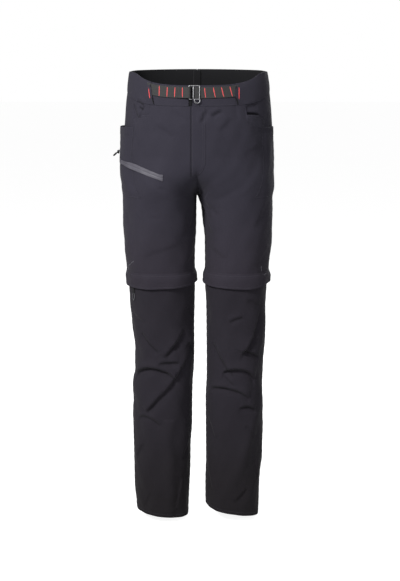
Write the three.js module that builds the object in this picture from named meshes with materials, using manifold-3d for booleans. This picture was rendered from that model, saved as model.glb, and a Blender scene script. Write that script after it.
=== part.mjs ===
// Men's zip-off hiking trousers, size M, filled out as if worn, with their own webbing belt.
// Millimetres. +Z is up, the front faces -Y and the wearer's right is at -X.
// The origin is the middle of the waist at the height of the belt line.
import * as THREE from 'three';
import { mergeVertices } from 'three/addons/utils/BufferGeometryUtils.js';
import Module from 'manifold-3d';

// Driving sizes
const CLOTH = 1.6; // wall of the trouser cloth
const SEAM = 0.15; // half of the gap between two pieces at a seam
const LIFT = 0.5; // gap under a piece that lies on a panel
const CROTCH = -266; // height of the crotch point
const CROTCH_CURVE = { front: 100, back: 125 }; // height in which its seam turns upright
const SQUARENESS = 2.3; // 2 makes the sections ellipses, more makes them squarer
const ARC = 1.4; // millimetres of cloth in one degree round a leg, for the folds

const POCKET_START = 72; // angle at which the hand pocket's mouth begins
const POCKET_STEP = 2; // angle in which the mouth drops from the waist seam
const STRAIGHT_FROM = -120; // rows are level from here down

const THIGH_END = -455; // lower edge of the thigh panels
const KNEE_ZIP_END = -469; // lower edge of the zip round the knee
const HEM = {
  height: { right: -1049, left: -1043 },
  tilt: { right: -9, left: 12.5 }, // how much higher the inner seam's end is than the middle
  backDrop: 4,
  depth: 22,
  wall: 2.4,
};

const WAISTBAND_WALL = 2.4;
const TUNNEL = 2; // how far the belt tunnel stands out of the waistband
const SLOT_TURN = { right: 36.4, left: 27.6 }; // where the belt leaves its tunnel
const FLY_LAP = -12; // x of the fly's edge, left over right
const FLY_TURN = 4.5; // the same edge as a turn round the waist
const FLY = { width: 32, top: -54, bottom: -211, curve: 36, bend: 0.96 };

const BELT = { height: 25, wall: 1.6, belowRim: 4, lift: 0.5, layerGap: 0.5 };
const BUCKLE = {
  wire: 1.1,
  left: -17.5,
  middle: -8,
  right: 6,
  tip: -11.5,
  corner: 1.5,
  gap: 0.75,
  base: 0.2, // x of the cloth that it is set on
};
const BUCKLE_HEIGHTS = { top: -8.6, bottom: -38.8, loop: 6.3 };
const BUCKLE_LIFT = BELT.lift + BELT.wall + BUCKLE.gap + BUCKLE.wire;

const SIDE_POCKET = { reach: 68, top: -102, bottom: -262 };
const THIGH_ZIP = { width: 15.5, wall: 1.2, start: 51, pocket: 98, end: 190, sliderAngle: 184 };
const SLIDER = { length: 9, width: 7, base: 2.4, lug: 1.2, lugHeight: 3.2, gap: 0.3, pivot: 1.4 };
const PULL = { width: 4.4, length: 16.5, wall: 2, hang: -55 }; // hang turns it down and forward
const KNEE_PULL = { angle: 143.5, top: -472, length: 20.5, width: 10.5, wall: 1.6, lift: 0.6 };

// A table's rows as objects with named columns
function table(names, rows) {
  const columns = names.split(' ');
  return rows.map((row) => Object.fromEntries(columns.map((name, index) => [name, row[index]])));
}

// Outer line of each leg and inner line, seen from the front. Above the crotch the inner line
// is the centre seam.
const OUTLINE = {
  right: table('height inner outer', [
    [31, 0, 157],
    [-9, 0, 161],
    [-46, 0, 166],
    [-100, 0, 170],
    [-176, 0, 174.5],
    [-252, 0, 176],
    [-266, 0.8, 176],
    [-350, 2.5, 174.5],
    [-390, 5, 174],
    [-425, 5.5, 170],
    [-470, 5, 164],
    [-520, 6, 160.5],
    [-580, 7, 156],
    [-640, 7, 151],
    [-683, 8, 152],
    [-723, 11, 158],
    [-764, 12, 155.5],
    [-825, 12.5, 157.5],
    [-880, 16, 157.5],
    [-940, 17, 156.5],
    [-1000, 20, 153],
    [-1056, 22, 151],
  ]),
  left: table('height inner outer', [
    [31, 0, 163],
    [-9, 0, 168],
    [-46, 0, 172.5],
    [-100, 0, 176.5],
    [-176, 0, 177.5],
    [-252, 0, 180],
    [-266, 1.5, 180.5],
    [-290, 9.5, 180.5],
    [-329, 14, 179],
    [-367, 18.5, 177],
    [-425, 19, 173],
    [-470, 19, 168.5],
    [-523, 22, 165],
    [-603, 23, 165],
    [-663, 23.5, 161],
    [-703, 23.5, 159.5],
    [-764, 21, 162],
    [-825, 21.5, 161],
    [-908, 22, 160.5],
    [-971, 20.5, 155.5],
    [-1056, 21, 152.5],
  ]),
};

// How far the middle of the front and of the back stand from the origin's upright plane
const DEPTH = table('height front back', [
  [31, 99, 107],
  [-22, 107, 115],
  [-60, 113, 122],
  [-100, 118, 129],
  [-170, 119, 138],
  [-240, 112, 132],
  [-300, 105, 117],
  [-400, 99, 96],
  [-470, 93, 82],
  [-540, 84, 73],
  [-700, 72, 76],
  [-900, 66, 72],
  [-1056, 62, 64],
]);

// Upper and lower edge of the waistband, by the turn from the centre front
const WAIST = table('turn rim seam', [
  [0, -7.5, -54],
  [20, -5.5, -53],
  [33, -1.5, -51],
  [42, 4, -48.5],
  [50, 10.5, -45],
  [59, 19, -39],
  [70, 23, -32],
  [90, 24, -18],
  [120, 28, -14],
  [180, 31, -14],
]);

// Lower edge of the hand pocket's mouth, by the angle round the leg
const POCKET_MOUTH = table('angle height', [
  [72, -73],
  [96, -74],
  [113, -82],
  [126, -94],
  [138, -106],
  [150, -109],
  [180, -109],
]);

// How far the side pockets stand out
const SIDE_POCKET_RISE = {
  right: table('height rise', [
    [-102, 9],
    [-125, 8],
    [-160, 8.5],
    [-214, 6.5],
    [-240, 3.5],
    [-262, 2.4],
  ]),
  left: table('height rise', [
    [-102, 2.6],
    [-160, 3.4],
    [-230, 4],
    [-262, 2.4],
  ]),
};

// Middle line of the thigh pocket's zip
const THIGH_ZIP_LINE = table('angle height', [
  [51, -214.5],
  [62, -209.5],
  [77, -202.5],
  [98, -194.5],
  [131, -186.2],
  [160, -181],
  [176, -175],
  [190, -157],
]);

// Profile of the flap over the knee zip
const KNEE_FLAP = table('height lift wall', [
  [-441, 0.5, 2],
  [-446, 2.6, 2.2],
  [-456, 3.8, 2.2],
  [-466, 3.9, 2.2],
  [-474, 3.9, 2.4],
]);

// Largest folds. A fold runs from one angle and height to another, bowed at its middle.
// A negative depth is a ridge.
const FOLDS = {
  right: table('angle height toAngle toHeight depth width bow', [
    [18, -590, 118, -780, 3.5, 15, -8],
    [52, -580, 88, -642, 3, 13, 0],
    [149, -694, 72, -698, 3, 13, 20],
    [137, -797, 94, -812, 2, 12, 8],
    [77, -810, 72, -1039, -2.5, 24, 0],
    [128, -586, 98, -628, 2, 12, 0],
    [14, -262, 34, -338, 2.5, 15, 0],
    [346, -300, 285, -345, 3.5, 18, 0],
    [336, -500, 262, -530, 3, 15, -8],
    [205, -545, 282, -600, 3, 16, 0],
    [330, -700, 240, -770, 3, 18, 8],
    [225, -860, 300, -930, 2.5, 18, -6],
  ]),
  left: table('angle height toAngle toHeight depth width bow', [
    [136, -536, 103, -632, 4, 15, 0],
    [68, -683, 130, -700, 3.5, 13, 16],
    [40, -724, 114, -744, 2.5, 13, 8],
    [98, -769, 130, -777, 2, 12, 6],
    [129, -782, 82, -985, -2.5, 22, 0],
    [40, -610, 88, -711, 2, 13, 0],
    [16, -258, 40, -345, 3.5, 15, 0],
    [346, -310, 288, -360, 3.5, 18, 0],
    [330, -505, 258, -540, 3, 15, -8],
    [212, -560, 285, -620, 3, 16, 0],
    [322, -720, 236, -775, 3, 18, 8],
    [228, -880, 300, -940, 2.5, 18, -6],
  ]),
};

const SIDES = ['right', 'left'];
const DIRECTION = { right: -1, left: 1 };

function radians(degrees) {
  return (degrees * Math.PI) / 180;
}

// Slope at a row for smooth values that never overshoot the table
function slopeAt(rows, key, name, index) {
  if (index === 0 || index === rows.length - 1) {
    return 0;
  }
  const [before, here, after] = [rows[index - 1], rows[index], rows[index + 1]];
  const first = (here[name] - before[name]) / (here[key] - before[key]);
  const second = (after[name] - here[name]) / (after[key] - here[key]);
  return first * second <= 0 ? 0 : (2 * first * second) / (first + second);
}

// A column's smooth value between the rows
function valueAt(rows, key, name, where) {
  const rising = rows[1][key] > rows[0][key];
  const after = rows.findIndex((row) => (rising ? row[key] >= where : row[key] <= where));
  if (after === 0) {
    return rows[0][name];
  }
  if (after < 0) {
    return rows[rows.length - 1][name];
  }
  const [low, high] = [rows[after - 1], rows[after]];
  const span = high[key] - low[key];
  const t = (where - low[key]) / span;
  const slopeLow = slopeAt(rows, key, name, after - 1) * span;
  const slopeHigh = slopeAt(rows, key, name, after) * span;
  return (
    low[name] * (1 + 2 * t) * (1 - t) ** 2 +
    slopeLow * t * (1 - t) ** 2 +
    high[name] * t * t * (3 - 2 * t) +
    slopeHigh * t * t * (t - 1)
  );
}

function smoothstep(from, to, value) {
  return THREE.MathUtils.smoothstep(value, from, to);
}

function rounded(value, power) {
  return Math.sign(value) * Math.abs(value) ** power;
}

// Share of a leg's width at an angle of its section
function across(angle) {
  return (1 - rounded(Math.cos(radians(angle)), 2 / SQUARENESS)) / 2;
}

// Part of a leg's section that the crotch seam has taken away, as an angle
function forkAngle(angle, height) {
  const curve = angle <= 180 ? CROTCH_CURVE.front : CROTCH_CURVE.back;
  const rise = THREE.MathUtils.clamp((height - CROTCH) / curve, 0, 1);
  return 90 * Math.sin(radians(90 * rise));
}

// Point of the trousers' plain surface. Angle 0 is the inner or centre front seam,
// 90 the front, 180 the side seam, 270 the back and 360 the inner or centre back seam.
function plainPoint(side, angle, height) {
  const fork = forkAngle(angle, height);
  const half = angle <= 180 ? angle : 360 - angle;
  const turned = fork + ((180 - fork) * half) / 180;
  const share = (across(turned) - across(fork)) / (1 - across(fork));
  const inner = Math.max(valueAt(OUTLINE[side], 'height', 'inner', height), SEAM);
  const outer = valueAt(OUTLINE[side], 'height', 'outer', height);
  const front = valueAt(DEPTH, 'height', 'front', height);
  const back = valueAt(DEPTH, 'height', 'back', height);
  const depth = rounded(Math.sin(radians(turned)), 2 / SQUARENESS) * (front + back) * 0.5;
  const x = inner + (outer - inner) * share;
  const y = (back - front) / 2 + (angle <= 180 ? -depth : depth);
  return new THREE.Vector3(DIRECTION[side] * x, y, height);
}

// Angle of the front surface at a distance from the centre
function angleAt(side, x, height) {
  const fork = forkAngle(0, height);
  const inner = Math.max(valueAt(OUTLINE[side], 'height', 'inner', height), SEAM);
  const outer = valueAt(OUTLINE[side], 'height', 'outer', height);
  const share = Math.max((Math.abs(x) - inner) / (outer - inner), 0);
  const cosine = 1 - 2 * (across(fork) + share * (1 - across(fork)));
  const turned = THREE.MathUtils.radToDeg(Math.acos(rounded(cosine, SQUARENESS / 2)));
  return ((turned - fork) * 180) / (180 - fork);
}

// How far a fold pushes the cloth in at a place
function foldDepth(fold, angle, height) {
  const along = new THREE.Vector2((fold.toAngle - fold.angle) * ARC, fold.toHeight - fold.height);
  const from = new THREE.Vector2((angle - fold.angle) * ARC, height - fold.height);
  const t = THREE.MathUtils.clamp(from.dot(along) / along.lengthSq(), 0, 1);
  const middle = along.multiplyScalar(t);
  middle.y += fold.bow * 4 * t * (1 - t);
  return fold.depth * Math.exp(-from.distanceToSquared(middle) / fold.width ** 2);
}

// Point of the surface and the direction out of it
function surface(side, angle, height) {
  const [less, more] = [Math.max(angle - 0.5, 0), Math.min(angle + 0.5, 360)];
  const round = plainPoint(side, more, height).sub(plainPoint(side, less, height));
  const up = plainPoint(side, angle, height + 2).sub(plainPoint(side, angle, height - 2));
  const normal = round.cross(up).normalize().multiplyScalar(DIRECTION[side]);
  const depth = FOLDS[side].reduce((sum, fold) => sum + foldDepth(fold, angle, height), 0);
  const point = plainPoint(side, angle, height).addScaledVector(normal, -depth);
  return { point, normal, angle, height };
}

// Surface at a turn round the waist, negative on the wearer's right
function waistSurface(turn, height) {
  return surface(turn < 0 ? 'right' : 'left', Math.abs(turn) * 2, height);
}

// Surface of the front at a distance x from the centre
function frontSurface(x, height) {
  const side = x < 0 ? 'right' : 'left';
  return surface(side, angleAt(side, x, height), height);
}

// Closed geometry from points and triangles, turned so that it faces outward
function solid(points, triangles) {
  const volume = triangles.reduce(
    (sum, [a, b, c]) => sum + points[a].dot(points[b].clone().cross(points[c])),
    0,
  );
  const facing = volume < 0 ? triangles.map(([a, b, c]) => [a, c, b]) : triangles;
  const geometry = new THREE.BufferGeometry().setFromPoints(points);
  geometry.setIndex(facing.flat());
  geometry.computeVertexNormals();
  return geometry;
}

// Wall between an outer and an inner grid of points. A ring's last column joins its first.
function wall(outer, inner, ring = false) {
  const rows = outer.length;
  const columns = outer[0].length;
  const cells = ring ? columns : columns - 1;
  const points = [...outer.flat(), ...inner.flat()];
  const triangles = [];
  const at = (layer, row, column) => (layer * rows + row) * columns + (column % columns);
  const quad = (a, b, c, d) => triangles.push([a, b, c], [a, c, d]);
  for (let row = 0; row < rows - 1; row += 1) {
    for (let column = 0; column < cells; column += 1) {
      const [next, below] = [column + 1, row + 1];
      quad(at(0, row, column), at(0, below, column), at(0, below, next), at(0, row, next));
      quad(at(1, row, column), at(1, row, next), at(1, below, next), at(1, below, column));
    }
    if (!ring) {
      quad(at(0, row, 0), at(1, row, 0), at(1, row + 1, 0), at(0, row + 1, 0));
      quad(at(0, row, cells), at(0, row + 1, cells), at(1, row + 1, cells), at(1, row, cells));
    }
  }
  for (let column = 0; column < cells; column += 1) {
    const [next, last] = [column + 1, rows - 1];
    quad(at(0, 0, column), at(0, 0, next), at(1, 0, next), at(1, 0, column));
    quad(at(0, last, column), at(1, last, column), at(1, last, next), at(0, last, next));
  }
  return solid(points, triangles);
}

// Moves the border of a grid in by half a seam gap. The centre seam has its gap already.
function openSeams(grid) {
  const onCentre = ({ point, height }) => Math.abs(point.x) < SEAM * 1.5 && height > CROTCH + 1;
  const toward = (place, next) => {
    place.point.add(next.point.clone().sub(place.point).setLength(SEAM));
  };
  const last = grid.length - 1;
  grid[0].forEach((place, column) => toward(place, grid[1][column]));
  grid[last].forEach((place, column) => toward(place, grid[last - 1][column]));
  for (const row of grid) {
    for (const ordered of [row, [...row].reverse()]) {
      if (!onCentre(ordered[0])) {
        toward(ordered[0], ordered[1]);
      }
    }
  }
}

// Wall over a grid of surface places. Lift is how far its inner face is out of the surface
// and thickness its wall, each a number or a function of the place.
function clothWall(grid, lift = -CLOTH, thickness = CLOTH, ring = false) {
  const number = (value, place) => (typeof value === 'function' ? value(place) : value);
  const moved = (place, out) => place.point.clone().addScaledVector(place.normal, out);
  const inner = grid.map((row) => row.map((place) => moved(place, number(lift, place))));
  const outer = grid.map((row) =>
    row.map((place) => moved(place, number(lift, place) + number(thickness, place))),
  );
  return wall(outer, inner, ring);
}

function steps(from, to, count) {
  return Array.from({ length: count + 1 }, (_, index) => from + ((to - from) * index) / count);
}

function mesh(name, geometry, color, roughness = 0.9, metalness = 0) {
  const material = new THREE.MeshStandardMaterial({ color, roughness, metalness });
  const made = new THREE.Mesh(geometry, material);
  made.name = name;
  return made;
}

const COLORS = {
  thigh: 0x3c3a46,
  lower: 0x2d2a30,
  facing: 0x35333d,
  waistband: 0x403e4a,
  belt: 0x4b4b4b,
  metal: 0x969696,
  tape: 0x6e6e78,
  zip: 0x18181a,
};

// Angles of the panels' columns
const FRONT_ANGLES = [0, 9, 19, 31, 44, 58, POCKET_START, POCKET_START + POCKET_STEP];
FRONT_ANGLES.push(...steps(86, 180, 7));
const BACK_ANGLES = steps(180, 360, 14);

// A turn round the waist is half the angle round the section
function waistSeam(angle) {
  return valueAt(WAIST, 'turn', 'seam', angle / 2);
}

function pocketMouth(angle) {
  return valueAt(POCKET_MOUTH, 'angle', 'height', angle);
}

// Heights of the thigh panels' level rows: hip, crotch curve and thigh
function levelRows() {
  const hip = [STRAIGHT_FROM, -145, -168];
  const curve = [190, 210, 228, 243, 256].map((depth) => -depth);
  return [...hip, ...curve, ...steps(CROTCH, THIGH_END, 7)];
}

// Heights of one column of a thigh panel, from its upper edge down
function thighColumn(top) {
  const upper = steps(top, STRAIGHT_FROM, 3).slice(0, 3);
  return [...upper, ...levelRows()];
}

function thighGrid(side, angles, topAt) {
  const columns = angles.map((angle) =>
    thighColumn(topAt(angle)).map((height) => surface(side, angle, height)),
  );
  const grid = columns[0].map((_, row) => columns.map((column) => column[row]));
  openSeams(grid);
  return grid;
}

function frontPanel(side) {
  const topAt = (angle) => (angle <= POCKET_START ? waistSeam(angle) : pocketMouth(angle));
  return clothWall(thighGrid(side, FRONT_ANGLES, topAt));
}

function backPanel(side) {
  return clothWall(thighGrid(side, BACK_ANGLES, waistSeam));
}

function pocketFacing(side) {
  const angles = FRONT_ANGLES.filter((angle) => angle > POCKET_START && angle < 180).concat(179);
  const grid = steps(0, 1, 2).map((share) =>
    angles.map((angle) => {
      const height = THREE.MathUtils.lerp(waistSeam(angle), pocketMouth(angle), share);
      return surface(side, angle, height);
    }),
  );
  openSeams(grid);
  return clothWall(grid, -CLOTH - 0.4);
}

function hemHeight(side, angle) {
  const backward = Math.max(-Math.sin(radians(angle)), 0);
  return HEM.height[side] + HEM.tilt[side] * Math.cos(radians(angle)) - HEM.backDrop * backward;
}

function lowerLeg(side, fromAngle) {
  const angles = steps(fromAngle, fromAngle + 180, 12);
  const shares = steps(0, 1, 20);
  const grid = shares.map((share) =>
    angles.map((angle) => {
      const bottom = hemHeight(side, angle) + HEM.depth;
      return surface(side, angle, THREE.MathUtils.lerp(KNEE_ZIP_END, bottom, share));
    }),
  );
  grid.push(angles.map((angle) => surface(side, angle, hemHeight(side, angle))));
  openSeams(grid);
  const doubled = ({ angle, height }) => height < hemHeight(side, angle) + HEM.depth / 2;
  const thickness = (place) => (doubled(place) ? HEM.wall : CLOTH);
  return clothWall(grid, (place) => -thickness(place), thickness);
}

function kneeZip(side) {
  const angles = steps(0, 360, 28).slice(0, 28);
  const grid = [THIGH_END - 2 * SEAM, KNEE_ZIP_END + 2 * SEAM].map((height) =>
    angles.map((angle) => surface(side, angle, height)),
  );
  return clothWall(grid, -CLOTH, CLOTH, true);
}

function kneeFlap(side) {
  const angles = steps(0, 360, 28).slice(0, 28);
  const grid = KNEE_FLAP.map((row) =>
    angles.map((angle) => ({ ...surface(side, angle, row.height), ...row })),
  );
  return clothWall(grid, (place) => place.lift, (place) => place.wall, true);
}

// Turns of the belt tunnel from its slot to the centre back, at the panels' columns
function tunnelTurns(side) {
  const slot = SLOT_TURN[side];
  const turns = [...FRONT_ANGLES, ...BACK_ANGLES.slice(1)].map((angle) => angle / 2);
  return [slot, ...turns.filter((turn) => turn > slot + 1)].map((turn) => turn * DIRECTION[side]);
}

// Part of the waistband over a list of turns
function waistband(turns, outside) {
  const grid = steps(0, 1, 2).map((share) =>
    turns.map((turn) => {
      const rim = valueAt(WAIST, 'turn', 'rim', Math.abs(turn));
      const seam = valueAt(WAIST, 'turn', 'seam', Math.abs(turn));
      return waistSurface(turn, THREE.MathUtils.lerp(rim, seam, share));
    }),
  );
  openSeams(grid);
  return clothWall(grid, -WAISTBAND_WALL, WAISTBAND_WALL + outside);
}

// The fly's lap, straight on its open edge and curved where its stitching ends
function flyPlacket() {
  const rounding = [27, 18, 10, 4, 0.5].map((rise) => FLY.bottom + rise);
  const heights = [...steps(FLY.top, FLY.bottom + FLY.curve, 5), ...rounding];
  const grid = heights.map((height) => {
    const low = THREE.MathUtils.clamp(1 - (height - FLY.bottom) / FLY.curve, 0, 1);
    const width = FLY.width * Math.sqrt(1 - low * low * FLY.bend);
    return steps(0, 1, 4).map((share) => frontSurface(FLY_LAP + width * share, height));
  });
  openSeams(grid);
  return clothWall(grid, LIFT, CLOTH);
}

// Webbing along a path of distances x and lifts, at the belt's height
function webbing(path) {
  const curve = path.map(([x, out]) => new THREE.Vector2(x, out));
  const side = (sign) =>
    [0, 0.5, 1].map((share) =>
      curve.map((place, index) => {
        const before = curve[Math.max(index - 1, 0)];
        const after = curve[Math.min(index + 1, curve.length - 1)];
        const along = after.clone().sub(before).normalize();
        const x = place.x - along.y * sign * (BELT.wall / 2);
        const out = place.y + along.x * sign * (BELT.wall / 2);
        const turn = angleAt(x < 0 ? 'right' : 'left', x, BUCKLE_HEIGHTS.top) / 2;
        const top = valueAt(WAIST, 'turn', 'rim', turn) - BELT.belowRim;
        const spot = frontSurface(x, top - BELT.height * share);
        return spot.point.addScaledVector(spot.normal, out);
      }),
    );
  return wall(side(1), side(-1));
}

// The belt comes out of its tunnel on the wearer's right, goes round the buckle's left bar
// and is sewn back on itself
function beltRight() {
  const rest = BELT.lift + BELT.wall / 2;
  const radius = BUCKLE_LIFT - rest;
  const slot = waistSurface(-SLOT_TURN.right, BUCKLE_HEIGHTS.top).point.x + 2 * SEAM;
  const path = steps(slot, BUCKLE.left, 8).map((x) => [x, rest]);
  for (const turn of steps(-60, 90, 5)) {
    const [along, out] = [Math.cos(radians(turn)), Math.sin(radians(turn))];
    path.push([BUCKLE.left + radius * along, BUCKLE_LIFT + radius * out]);
  }
  const doubled = rest + BELT.wall + BELT.layerGap;
  path.push([BUCKLE.left - 4, BUCKLE_LIFT + radius * 0.75]);
  path.push([BUCKLE.left - 10, doubled + 0.3]);
  path.push([BUCKLE.left - 16, doubled], [BUCKLE.left - 24, doubled]);
  return webbing(path);
}

// On the wearer's left it passes behind the buckle's right bar to the middle bar
function beltLeft() {
  const rest = BELT.lift + BELT.wall / 2;
  const slot = waistSurface(SLOT_TURN.left, BUCKLE_HEIGHTS.top).point.x - 2 * SEAM;
  return webbing(steps(slot, BUCKLE.middle - 2.5, 10).map((x) => [x, rest]));
}

// Round wire through a list of points
function wire(points, radius, count) {
  const path = new THREE.CatmullRomCurve3(
    points.map(([x, z]) => new THREE.Vector3(x, 0, z)),
    false,
    'centripetal',
  );
  const section = new THREE.Shape().absarc(0, 0, radius, 0, Math.PI * 2);
  return new THREE.ExtrudeGeometry(section, { steps: count, curveSegments: 4, extrudePath: path });
}

const wasm = await Module();
wasm.setup();

function toManifold(geometry) {
  const plain = geometry.index ? geometry.toNonIndexed() : geometry.clone();
  plain.deleteAttribute('normal');
  plain.deleteAttribute('uv');
  const merged = mergeVertices(plain, 1e-4);
  return new wasm.Manifold(
    new wasm.Mesh({
      numProp: 3,
      vertProperties: new Float32Array(merged.attributes.position.array),
      triVerts: new Uint32Array(merged.index.array),
    }),
  );
}

// One geometry from several that overlap
function joined(geometries) {
  const result = geometries.map(toManifold).reduce((sum, next) => sum.add(next));
  const { vertProperties, triVerts } = result.getMesh();
  const geometry = new THREE.BufferGeometry();
  geometry.setAttribute('position', new THREE.BufferAttribute(vertProperties, 3));
  geometry.setIndex(new THREE.BufferAttribute(triVerts, 1));
  geometry.computeVertexNormals();
  return geometry;
}

// A bent wire hook with a middle bar and a half-round loop under it
function buckle() {
  const { left, middle, right, tip, corner, wire: radius } = BUCKLE;
  const { top, bottom, loop } = BUCKLE_HEIGHTS;
  const hook = wire(
    [
      [tip, bottom - 0.4],
      [left + corner, bottom - 0.2],
      [left + 0.4, bottom + 0.8],
      [left, bottom + corner + 1],
      [left, bottom + corner + 4],
      [left, top - corner - 4],
      [left, top - corner - 1],
      [left + 0.6, top - 0.8],
      [left + corner + 1, top],
      [right - corner - 1, top],
      [right - 0.6, top - 0.8],
      [right, top - corner - 1],
      [right, bottom + corner + 1],
      [right - 0.6, bottom + 0.8],
      [right - corner - 1, bottom],
      [middle + 1, bottom],
    ],
    radius,
    30,
  );
  const bar = wire([[middle, top], [middle, bottom]], radius * 0.95, 2);
  const centre = (middle + 2.5 + right + 1) / 2;
  const arc = steps(180, 360, 6).map((angle) => [
    centre + loop * Math.cos(radians(angle)),
    bottom - 2.4 + loop * Math.sin(radians(angle)),
  ]);
  const ends = [[centre - loop, bottom], [centre + loop - 1, bottom + 0.4]];
  const ring = wire([ends[0], ...arc, ends[1]], radius * 0.9, 12);
  const geometry = joined([hook, bar, ring]);
  const place = frontSurface(BUCKLE.base, (top + bottom) / 2);
  const tilt = Math.atan2(place.normal.z, -place.normal.y);
  geometry.translate(0, 0, -place.height);
  const made = mesh('buckle', geometry, COLORS.metal, 0.35, 0.9);
  made.position.copy(place.point).addScaledVector(place.normal, BUCKLE_LIFT).setX(0);
  made.rotation.x = -tilt;
  return made;
}

// Outer face of a side pocket above the panel
function sidePocketTop(side, angle, height) {
  const share = Math.min(Math.abs(angle - 180) / SIDE_POCKET.reach, 1);
  const rise = valueAt(SIDE_POCKET_RISE[side], 'height', 'rise', height);
  const flat = LIFT + CLOTH;
  return flat + (rise - flat) * (1 - share ** 4);
}

function sidePocket(side) {
  const { reach, top, bottom } = SIDE_POCKET;
  const level = levelRows().filter((height) => height > bottom + 2);
  const heights = [top, top - 3, top - 9, ...level, bottom];
  const angles = [...FRONT_ANGLES, ...BACK_ANGLES.slice(1)];
  const covered = angles.filter((angle) => Math.abs(angle - 180) < reach);
  const grid = heights.map((height) => covered.map((angle) => surface(side, angle, height)));
  openSeams(grid);
  return clothWall(grid, ({ angle, height }) => sidePocketTop(side, angle, height) - CLOTH, CLOTH);
}

// Lift of the thigh zip's tape, which climbs onto the side pocket
function tapeLift(angle, height) {
  const edge = 180 - SIDE_POCKET.reach;
  const onPocket = smoothstep(edge - 16, edge - 1, angle);
  return LIFT + (sidePocketTop('right', angle, height) - 0.1) * onPocket;
}

function thighZipTape() {
  const { start, pocket, end } = THIGH_ZIP;
  const angles = [...steps(start, pocket, 5), ...steps(pocket + 8, end, 10)];
  const grid = [-0.5, 0, 0.5].map((share) =>
    angles.map((angle) => {
      const middle = valueAt(THIGH_ZIP_LINE, 'angle', 'height', angle);
      return surface('right', angle, middle - share * THIGH_ZIP.width);
    }),
  );
  return clothWall(grid, ({ angle, height }) => tapeLift(angle, height), THIGH_ZIP.wall);
}

// Place and directions of the thigh zip's slider: along the tape, across it and out of it
function sliderFrame() {
  const angle = THIGH_ZIP.sliderAngle;
  const heightAt = (where) => valueAt(THIGH_ZIP_LINE, 'angle', 'height', where);
  const lift = tapeLift(angle, heightAt(angle)) + THIGH_ZIP.wall + SLIDER.gap;
  const here = surface('right', angle, heightAt(angle));
  const next = surface('right', angle + 4, heightAt(angle + 4));
  const out = here.normal;
  const along = next.point.clone().sub(here.point);
  along.addScaledVector(out, -along.dot(out)).normalize();
  const position = here.point.clone().addScaledVector(out, lift);
  const basis = new THREE.Matrix4().makeBasis(along, out.clone().cross(along), out);
  return { position, basis };
}

function slab(length, width, height, x, y, z) {
  return new THREE.BoxGeometry(length, width, height).translate(x, y, z + height / 2);
}

function placed(made, { position, basis }) {
  made.position.copy(position);
  made.quaternion.setFromRotationMatrix(basis);
  return made;
}

function thighZipSlider() {
  const { length, width, base, lug, lugHeight } = SLIDER;
  const apart = PULL.width / 2 + SLIDER.gap + lug / 2;
  const geometry = joined([
    slab(length, width, base, 0, 0, 0),
    slab(length * 0.5, lug, lugHeight, 0, apart, base - 0.5),
    slab(length * 0.5, lug, lugHeight, 0, -apart, base - 0.5),
  ]);
  return placed(mesh('thigh_zip_slider', geometry, COLORS.zip, 0.45), sliderFrame());
}

// Tab outline with a round end, from its pivot out
function tab(width, length, thickness) {
  const half = width / 2;
  const shape = new THREE.Shape();
  shape.moveTo(-half, 0);
  shape.lineTo(-half, length - half);
  shape.absarc(0, length - half, half, Math.PI, 0, true);
  shape.lineTo(half, 0);
  shape.closePath();
  const geometry = new THREE.ExtrudeGeometry(shape, {
    depth: thickness,
    bevelEnabled: false,
    curveSegments: 8,
  });
  return geometry.translate(0, 0, -thickness / 2);
}

function thighZipPull() {
  const frame = sliderFrame();
  const geometry = tab(PULL.width, PULL.length, PULL.wall);
  geometry.rotateX(Math.PI / 2).rotateZ(Math.PI / 2).rotateY(radians(PULL.hang));
  const out = new THREE.Vector3().setFromMatrixColumn(frame.basis, 2);
  frame.position.addScaledVector(out, SLIDER.base + SLIDER.pivot);
  return placed(mesh('thigh_zip_pull', geometry, COLORS.zip, 0.5), frame);
}

// The knee zip's pull hangs out of the flap on the wearer's right
function kneeZipPull() {
  const { angle, top, length, width, wall: thickness, lift } = KNEE_PULL;
  const here = surface('right', angle, top);
  const below = surface('right', angle, top - length);
  const down = below.point.clone().sub(here.point).normalize();
  const out = here.normal.clone().addScaledVector(down, -here.normal.dot(down)).normalize();
  const basis = new THREE.Matrix4().makeBasis(down.clone().cross(out), down, out);
  const position = here.point.clone().addScaledVector(out, lift + thickness / 2);
  const made = mesh('knee_zip_pull_right', tab(width, length, thickness), COLORS.zip, 0.5);
  return placed(made, { position, basis });
}

const frontTurns = {
  right: steps(-SLOT_TURN.right, -FLY_TURN, 4),
  left: steps(-FLY_TURN, SLOT_TURN.left, 5),
};

const trousers = new THREE.Group();
for (const side of SIDES) {
  trousers.add(
    mesh(`front_panel_${side}`, frontPanel(side), COLORS.thigh),
    mesh(`back_panel_${side}`, backPanel(side), COLORS.thigh),
    mesh(`pocket_facing_${side}`, pocketFacing(side), COLORS.facing),
    mesh(`side_pocket_${side}`, sidePocket(side), COLORS.thigh),
    mesh(`knee_flap_${side}`, kneeFlap(side), COLORS.thigh),
    mesh(`knee_zip_${side}`, kneeZip(side), COLORS.zip, 0.6),
    mesh(`lower_leg_front_${side}`, lowerLeg(side, 0), COLORS.lower),
    mesh(`lower_leg_back_${side}`, lowerLeg(side, 180), COLORS.lower),
  );
}
trousers.add(
  mesh('waistband_right', waistband(tunnelTurns('right'), TUNNEL), COLORS.waistband),
  mesh('waistband_left', waistband(tunnelTurns('left'), TUNNEL), COLORS.waistband),
  mesh('waistband_front_right', waistband(frontTurns.right, 0), COLORS.waistband),
  mesh('waistband_front_left', waistband(frontTurns.left, 0), COLORS.waistband),
  mesh('fly_placket', flyPlacket(), COLORS.thigh),
  mesh('belt_right', beltRight(), COLORS.belt, 0.8),
  mesh('belt_left', beltLeft(), COLORS.belt, 0.8),
  buckle(),
  mesh('thigh_zip_tape', thighZipTape(), COLORS.tape, 0.5),
  thighZipSlider(),
  thighZipPull(),
  kneeZipPull(),
);

export default trousers;
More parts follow.
